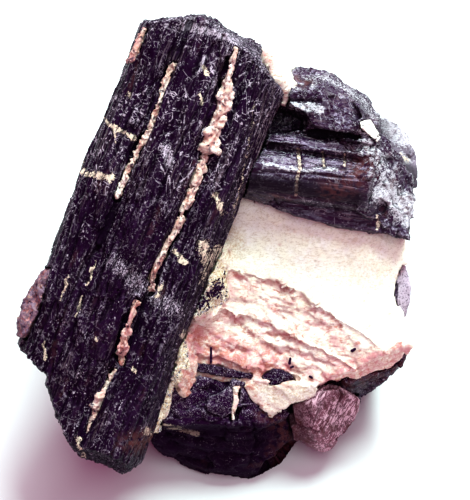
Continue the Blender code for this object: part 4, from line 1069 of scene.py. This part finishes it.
def dress_feldspar(look):
    stone = Stone("feldspar_matrix", 0.14)
    points, normals = stone.read()
    q = within(points, BED)
    shift = np.stack([waves(q / 2.6, 2, 112), waves(q / 2.6, 2, 113), 0 * q[:, 0]], 1) * 0.45
    shift[:, 2] = filled_walls(q, facing(normals))
    shift *= step_up(points[:, 2], 0.5 * MM, 4 * MM)[:, None]
    stone.write(points + shift @ np.array(BED.to_3x3()).T * MM)
    stone.cut(feldspar_relief)
    _, normals, bed, xy, hollow = stone.survey()
    front = step_up(facing(normals), 0.0, 0.4)
    under = below_path(xy, RAGGED_LINE)
    # Ledge walls look down and to the left, away from the bed's top right where the light comes from; they are
    # painted pink as shade.
    wall_shade = step_up(-(normals @ np.array(BED.to_3x3() @ Vector((0.35, 0.9, 0.2)).normalized())), -0.25, 0.35)
    below = step_up(under, -1.0, 1.2)
    ragged = frayed(xy, 0.7, 103)
    whole = 0.3 + 0.7 * step_up(wave(bed / np.array((2.6, 2.6, 9.0)), 102), -0.35, 0.15)
    # Painted shadow: a pink band just under each ledge, where its shadow falls.
    foot = np.zeros(len(xy), np.float32)
    for path, drop, reach in LEDGES:
        foot = np.maximum(foot, fallen(ragged, path, reach * 0.5) * min(1.0, drop) * whole)
    foot *= 0.35 + 0.65 * step_up(waves(bed / np.array((1.6, 0.8, 9.0)), 2, 119), -0.15, 0.25)
    clear = near_path(xy, [(21.6, -12.0), (27.0, -15.0), (32.0, -17.6)], 4.8)
    rosy = near_path(xy, [(-8.0, -18.6), (0.0, -21.4), (8.0, -24.0)], 6.6)
    stains = step_up(waves(bed / np.array((3.6, 2.4, 9.0)), 3, 115), 0.0, 0.22)
    # Pink: painted shade on ledge walls and just under ledges, plus rosy stains and a rosy tone below the ragged
    # line.
    pink = (0.85 * foot + 0.3 * below * wall_shade + 0.42 * below * stains + 0.20 * below) * (1 - 0.85 * clear)
    # Painted shade: the shaded side facet on the right flank is painted pink and deep red.
    shaded_flank = step_up(near_path(ragged, [(19.6, -25.4), (27.0, -23.0), (34.0, -21.0)], 3.4), 0.1, 0.45)
    pink = most(pink, shaded_flank * 1.2, rosy * 1.6, brushed(xy, TOP_VEIN_PINK),
                (1 - front) * 0.4 * step_up(wave(bed / 6.0, 116), -0.2, 0.5))
    facet = near_path(ragged, [(6.0, -28.6), (10.0, -29.6), (14.4, -28.2)], 4.0)
    # Painted shade: hollows take the crack colour through the low mark, more so in the rosy lower left.
    stone.mark("low", step_up(hollow, 0.06, 0.26) * (0.5 + 0.5 * rosy))
    stone.mark("pink", pink * (1 - facet))
    red = near_path(ragged, [(-11.0, -21.0), (-10.0, -25.0), (-9.4, -28.6)], 2.8)
    # Painted shadow: a thin deep red band just under these ledges.
    for i, share in RED_LEDGE_SHADOWS:
        red = np.maximum(red, fallen(ragged, LEDGES[i][0], 1.3) * share * whole)
    patches = rosy * 1.1 * step_up(waves(bed / np.array((2.4, 1.3, 9.0)), 3, 120), -0.1, 0.2)
    red = most(red, patches, shaded_flank * 0.4, brushed(xy, *RED_LINES))
    stone.mark("red", most(red * front, (1 - front) * 0.25 * step_up(wave(bed / 4.0, 117), 0.2, 0.6)))
    crust = crust_mask(xy) * front
    stone.mark("crust", crust)
    stone.mark("ochre", most(brushed(xy, *OCHRE_PATCHES), step_up(wave(bed / 3.4, 118), 0.2, 0.6) * 0.3,
                             0.26 * below * (1 - clear), crust * step_up(xy[:, 1], -9.0, -5.0)))
    stone.mark("dark", near_path(xy, [(-8.6, -9.0), (-5.0, -9.6)], 2.0) * 0.9 * front)
    stone.finish(feldspar_finish("feldspar_stone", look, look.cream), "feldspar")
    scatter_small_crystals(stone.obj)


# --- small crystals on the feldspar ---

NEEDLE = [(-4.8, -19.2), (-4.8, -22.8)]
SPECKS = [(23.7, -20.0, 1.3, 0.7, 30), (11.0, -22.2, 1.5, 0.6, 80), (11.4, -23.4, 0.9, 0.5, 20),
          (-8.4, -27.0, 0.7, 0.5, 60), (15.2, -25.4, 1.0, 0.6, 150), (1.0, -25.6, 0.8, 0.5, 10)]
CLUSTER = [(-10.4, -9.0), (-7.0, -9.6), (-3.6, -8.6), (-2.8, -6.4)]
CLUSTER_COUNT = 70


def add_shard(bm, tree, x, y, length, width, turn):
    """A small six-sided crystal lying half sunk in the stone that is seen at (x, y)."""
    eye = BED @ Vector((0, 0, EYE * MM))
    aim = BED @ (Vector((x, y, 0)) * MM)
    spot, normal, _, _ = tree.ray_cast(eye, (aim - eye).normalized())
    if spot is None:
        return
    along = BED.to_3x3() @ Vector((math.cos(math.radians(turn)), math.sin(math.radians(turn)), 0))
    along = (along - normal * along.dot(normal)).normalized()
    side = normal.cross(along)
    rings = []
    for place, scale in ((-0.5, 0.35), (-0.38, 1.0), (0.36, 0.9), (0.5, 0.25)):
        ring = []
        for i in range(6):
            angle = math.radians(60 * i + 20)
            across = side * math.cos(angle) + normal * (math.sin(angle) + 0.15)
            ring.append(bm.verts.new(spot + (along * place * length + across * scale * width / 2) * MM))
        rings.append(ring)
    bm.faces.new(reversed(rings[0]))
    bm.faces.new(rings[-1])
    for low, high in zip(rings, rings[1:]):
        for i in range(6):
            bm.faces.new((low[i], low[(i + 1) % 6], high[(i + 1) % 6], high[i]))


def scatter_small_crystals(carrier):
    bm = bmesh.new()
    tree = BVHTree.FromPolygons([v.co for v in carrier.data.vertices],
                                [tuple(face.vertices) for face in carrier.data.polygons])
    (x, top), (_, foot) = NEEDLE
    add_shard(bm, tree, x, (top + foot) / 2, top - foot, 0.55, 88)
    for speck in SPECKS:
        add_shard(bm, tree, *speck)
    dice = np.random.default_rng(21)
    for _ in range(CLUSTER_COUNT):
        start = dice.integers(len(CLUSTER) - 1)
        share = dice.random()
        x, y = (a + (b - a) * share for a, b in zip(CLUSTER[start], CLUSTER[start + 1]))
        x, y = x + dice.normal(0, 0.8), y + dice.normal(0, 1.0)
        add_shard(bm, tree, x, y, dice.uniform(0.7, 2.0), dice.uniform(0.25, 0.5), dice.normal(40, 40))
    bmesh.ops.recalc_face_normals(bm, faces=bm.faces)
    mesh = bpy.data.meshes.new("small_crystals")
    bm.to_mesh(mesh)
    bm.free()
    mesh.materials.append(bpy.data.materials["dark_tourmaline_stone"])
    piece = bpy.data.objects.new("small_crystals", mesh)
    bpy.context.scene.collection.objects.link(piece)
    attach(piece, "root")


# --- what a user may change ---


def colour_choice(name, description, default):
    """A colour that a user may change."""
    return FloatVectorProperty(name=name, description=description, default=default, subtype="COLOR", min=0, max=1)


class SpecimenLook(bpy.types.PropertyGroup):
    """Colours of the stone."""

    black: colour_choice("Black", "Body of the black tourmaline", (0.0075, 0.0012, 0.0100))
    # Dust also colours the painted glints, and the painted highlights on the main crystal's right side and the lower
    # crystals' tops.
    dust: colour_choice("Dust", "Scratches and crushed edges", (0.60, 0.50, 0.60))
    grey: colour_choice("Grey", "Body of the rear crystals", (0.0110, 0.0030, 0.0140))
    # Grey dust also colours the rear crystals' painted glints and the painted highlight on their top.
    grey_dust: colour_choice("Grey dust", "Crushed stone on the rear crystals", (0.60, 0.57, 0.62))
    ash: colour_choice("Ash", "Body of the small crystal at the side", (0.150, 0.122, 0.155))
    dark: colour_choice("Dark", "Body of the lower crystal", (0.0120, 0.0014, 0.0160))
    brown: colour_choice("Brown", "Body of the fibrous prong", (0.120, 0.044, 0.062))
    brown_dust: colour_choice("Brown fibres", "Pale fibres of the prong", (0.66, 0.42, 0.50))
    deposit: colour_choice("Deposit", "Cream crumbs left on the black crystals", (0.74, 0.64, 0.50))
    streak: colour_choice("Streaks", "Pale grooves along a crystal", (0.17, 0.12, 0.14))
    cream: colour_choice("Cream", "Body of the feldspar", (0.93, 0.90, 0.75))
    white: colour_choice("White", "Cleanest feldspar", (0.93, 0.91, 0.84))
    vein: colour_choice("Vein", "Body of the veins", (0.72, 0.52, 0.43))
    rose: colour_choice("Rose", "Body of the left crust", (0.115, 0.072, 0.115))
    # Pink also paints the shade on ledge walls and just under ledges.
    pink: colour_choice("Pink", "Rosy feldspar in ledges and hollows", (0.64, 0.30, 0.33))
    # Red also paints the shadow just under some ledges and the shade on the right flank.
    red: colour_choice("Red", "Deep iron stain on feldspar", (0.50, 0.17, 0.13))
    ochre: colour_choice("Ochre", "Yellow flecks in the feldspar", (0.58, 0.42, 0.24))
    # This colour is used only as painted shade in the hollows of every feldspar piece.
    crack: colour_choice("Cracks", "Hair cracks and hollows in the feldspar", (0.55, 0.24, 0.22))
    rust: colour_choice("Rust", "Iron stain in grooves", (0.080, 0.028, 0.028))


class StudioLook(bpy.types.PropertyGroup):
    """The floor and the lights."""

    floor: colour_choice("Floor", "Colour of the floor", (0.72, 0.74, 0.745))
    key_power: FloatProperty(
        name="Key light", description="Power of the large light behind the specimen",
        default=31.0, min=0.0, unit="POWER",
    )


# --- operators ---


class SPECIMEN_OT_main_crystal(bpy.types.Operator):
    """Dress the big striated crystal"""

    bl_idname = "specimen.main_crystal"
    bl_label = "Main Crystal"

    def execute(self, context):
        dress_main(context.scene.specimen_look)
        return {"FINISHED"}


class SPECIMEN_OT_rear_crystals(bpy.types.Operator):
    """Dress the ribbed crystal across the top, the one beside it and the white chip"""

    bl_idname = "specimen.rear_crystals"
    bl_label = "Rear Crystals"

    def execute(self, context):
        dress_rear(context.scene.specimen_look)
        return {"FINISHED"}


class SPECIMEN_OT_lower_crystals(bpy.types.Operator):
    """Dress the dark crystals under the feldspar and the brown prong"""

    bl_idname = "specimen.lower_crystals"
    bl_label = "Lower Crystals"

    def execute(self, context):
        dress_lower(context.scene.specimen_look)
        return {"FINISHED"}


class SPECIMEN_OT_veins(bpy.types.Operator):
    """Dress the veins in the main crystal and the crust on its left edge"""

    bl_idname = "specimen.veins"
    bl_label = "Veins and Crust"

    def execute(self, context):
        dress_veins(context.scene.specimen_look)
        return {"FINISHED"}


class SPECIMEN_OT_feldspar(bpy.types.Operator):
    """Dress the pale feldspar that the crystals grew in"""

    bl_idname = "specimen.feldspar"
    bl_label = "Feldspar"

    def execute(self, context):
        dress_feldspar(context.scene.specimen_look)
        return {"FINISHED"}


class SPECIMEN_OT_stage(bpy.types.Operator):
    """Make the floor, the lights and the camera"""

    bl_idname = "specimen.stage"
    bl_label = "Stage"

    def execute(self, context):
        look = context.scene.studio_look
        bm = bmesh.new()
        bmesh.ops.create_circle(bm, cap_ends=True, radius=3.0, segments=64)
        mesh = bpy.data.meshes.new("floor")
        bm.to_mesh(mesh)
        bm.free()
        floor = bpy.data.objects.new("floor", mesh)
        context.scene.collection.objects.link(floor)
        f = Finish("pale_floor", Matrix.Identity(4))
        tone = f.ramp(f.noise(f.grain(60.0), 2.0), 0.3, 0.7)
        colour = f.mix(tone, look.floor, [c * 0.98 for c in look.floor])
        mesh.materials.append(f.done(colour, 0.7, f.noise(f.grain(0.6), 3.0), 0.1, 0.05, 0.2))

        world = bpy.data.worlds.new("studio")
        context.scene.world = world
        world.use_nodes = True
        ambient = world.node_tree.nodes["Background"]
        ambient.inputs["Color"].default_value = (0.43, 0.12, 0.25, 1.0)
        ambient.inputs["Strength"].default_value = 1.0

        aim = Vector((0.0, 0.0, 0.03))
        for name, place, size, power, colour in (
            ("key", (0.29, 0.53, 1.16), 0.72, look.key_power * 1.03, (0.74, 1.0, 0.92)),
            ("front", (0.15, -0.45, 1.30), 0.90, look.key_power * 0.20, (0.80, 1.0, 0.95)),
            ("glint", (0.25, 1.00, 0.95), 0.35, look.key_power * 0.24, (0.92, 1.0, 1.0)),
        ):
            light = bpy.data.lights.new(name, "AREA")
            light.shape = "DISK"
            light.size = size
            light.energy = power
            light.color = colour
            lamp = bpy.data.objects.new(name, light)
            lamp.location = place
            lamp.rotation_euler = (aim - Vector(place)).to_track_quat("-Z", "Y").to_euler()
            context.scene.collection.objects.link(lamp)

        camera = bpy.data.cameras.new("camera")
        camera.sensor_width = 36.0
        camera.lens = 36.0 * EYE / VIEW_HEIGHT
        camera.clip_start = 0.05
        camera.clip_end = 20.0
        viewer = bpy.data.objects.new("camera", camera)
        viewer.matrix_world = BED @ Matrix.Translation((0.0, 0.0, EYE * MM))
        context.scene.collection.objects.link(viewer)
        context.scene.camera = viewer
        context.scene.view_settings.view_transform = "Standard"
        context.scene.view_settings.look = "Medium High Contrast"
        return {"FINISHED"}


class SPECIMEN_PT_tools(bpy.types.Panel):
    """The specimen's steps and colours"""

    bl_label = "Specimen"
    bl_idname = "SPECIMEN_PT_tools"
    bl_space_type = "VIEW_3D"
    bl_region_type = "UI"
    bl_category = "Specimen"

    def draw(self, context):
        for group in (context.scene.specimen_look, context.scene.studio_look):
            for name in group.__annotations__:
                self.layout.prop(group, name)
        for step in STEPS:
            self.layout.operator(step.bl_idname)


# In this order: the feldspar's small crystals take the lower crystals' material.
STEPS = (
    SPECIMEN_OT_main_crystal,
    SPECIMEN_OT_rear_crystals,
    SPECIMEN_OT_lower_crystals,
    SPECIMEN_OT_veins,
    SPECIMEN_OT_feldspar,
    SPECIMEN_OT_stage,
)
CLASSES = (SpecimenLook, StudioLook, *STEPS, SPECIMEN_PT_tools)


def register():
    for cls in CLASSES:
        bpy.utils.register_class(cls)
    bpy.types.Scene.specimen_look = PointerProperty(type=SpecimenLook)
    bpy.types.Scene.studio_look = PointerProperty(type=StudioLook)


def unregister():
    del bpy.types.Scene.studio_look
    del bpy.types.Scene.specimen_look
    for cls in reversed(CLASSES):
        bpy.utils.unregister_class(cls)


def main():
    """Registers the tools and runs them in order."""
    register()
    for step in STEPS:
        group, name = step.bl_idname.split(".")
        getattr(getattr(bpy.ops, group), name)()


if __name__ == "__main__":
    main()
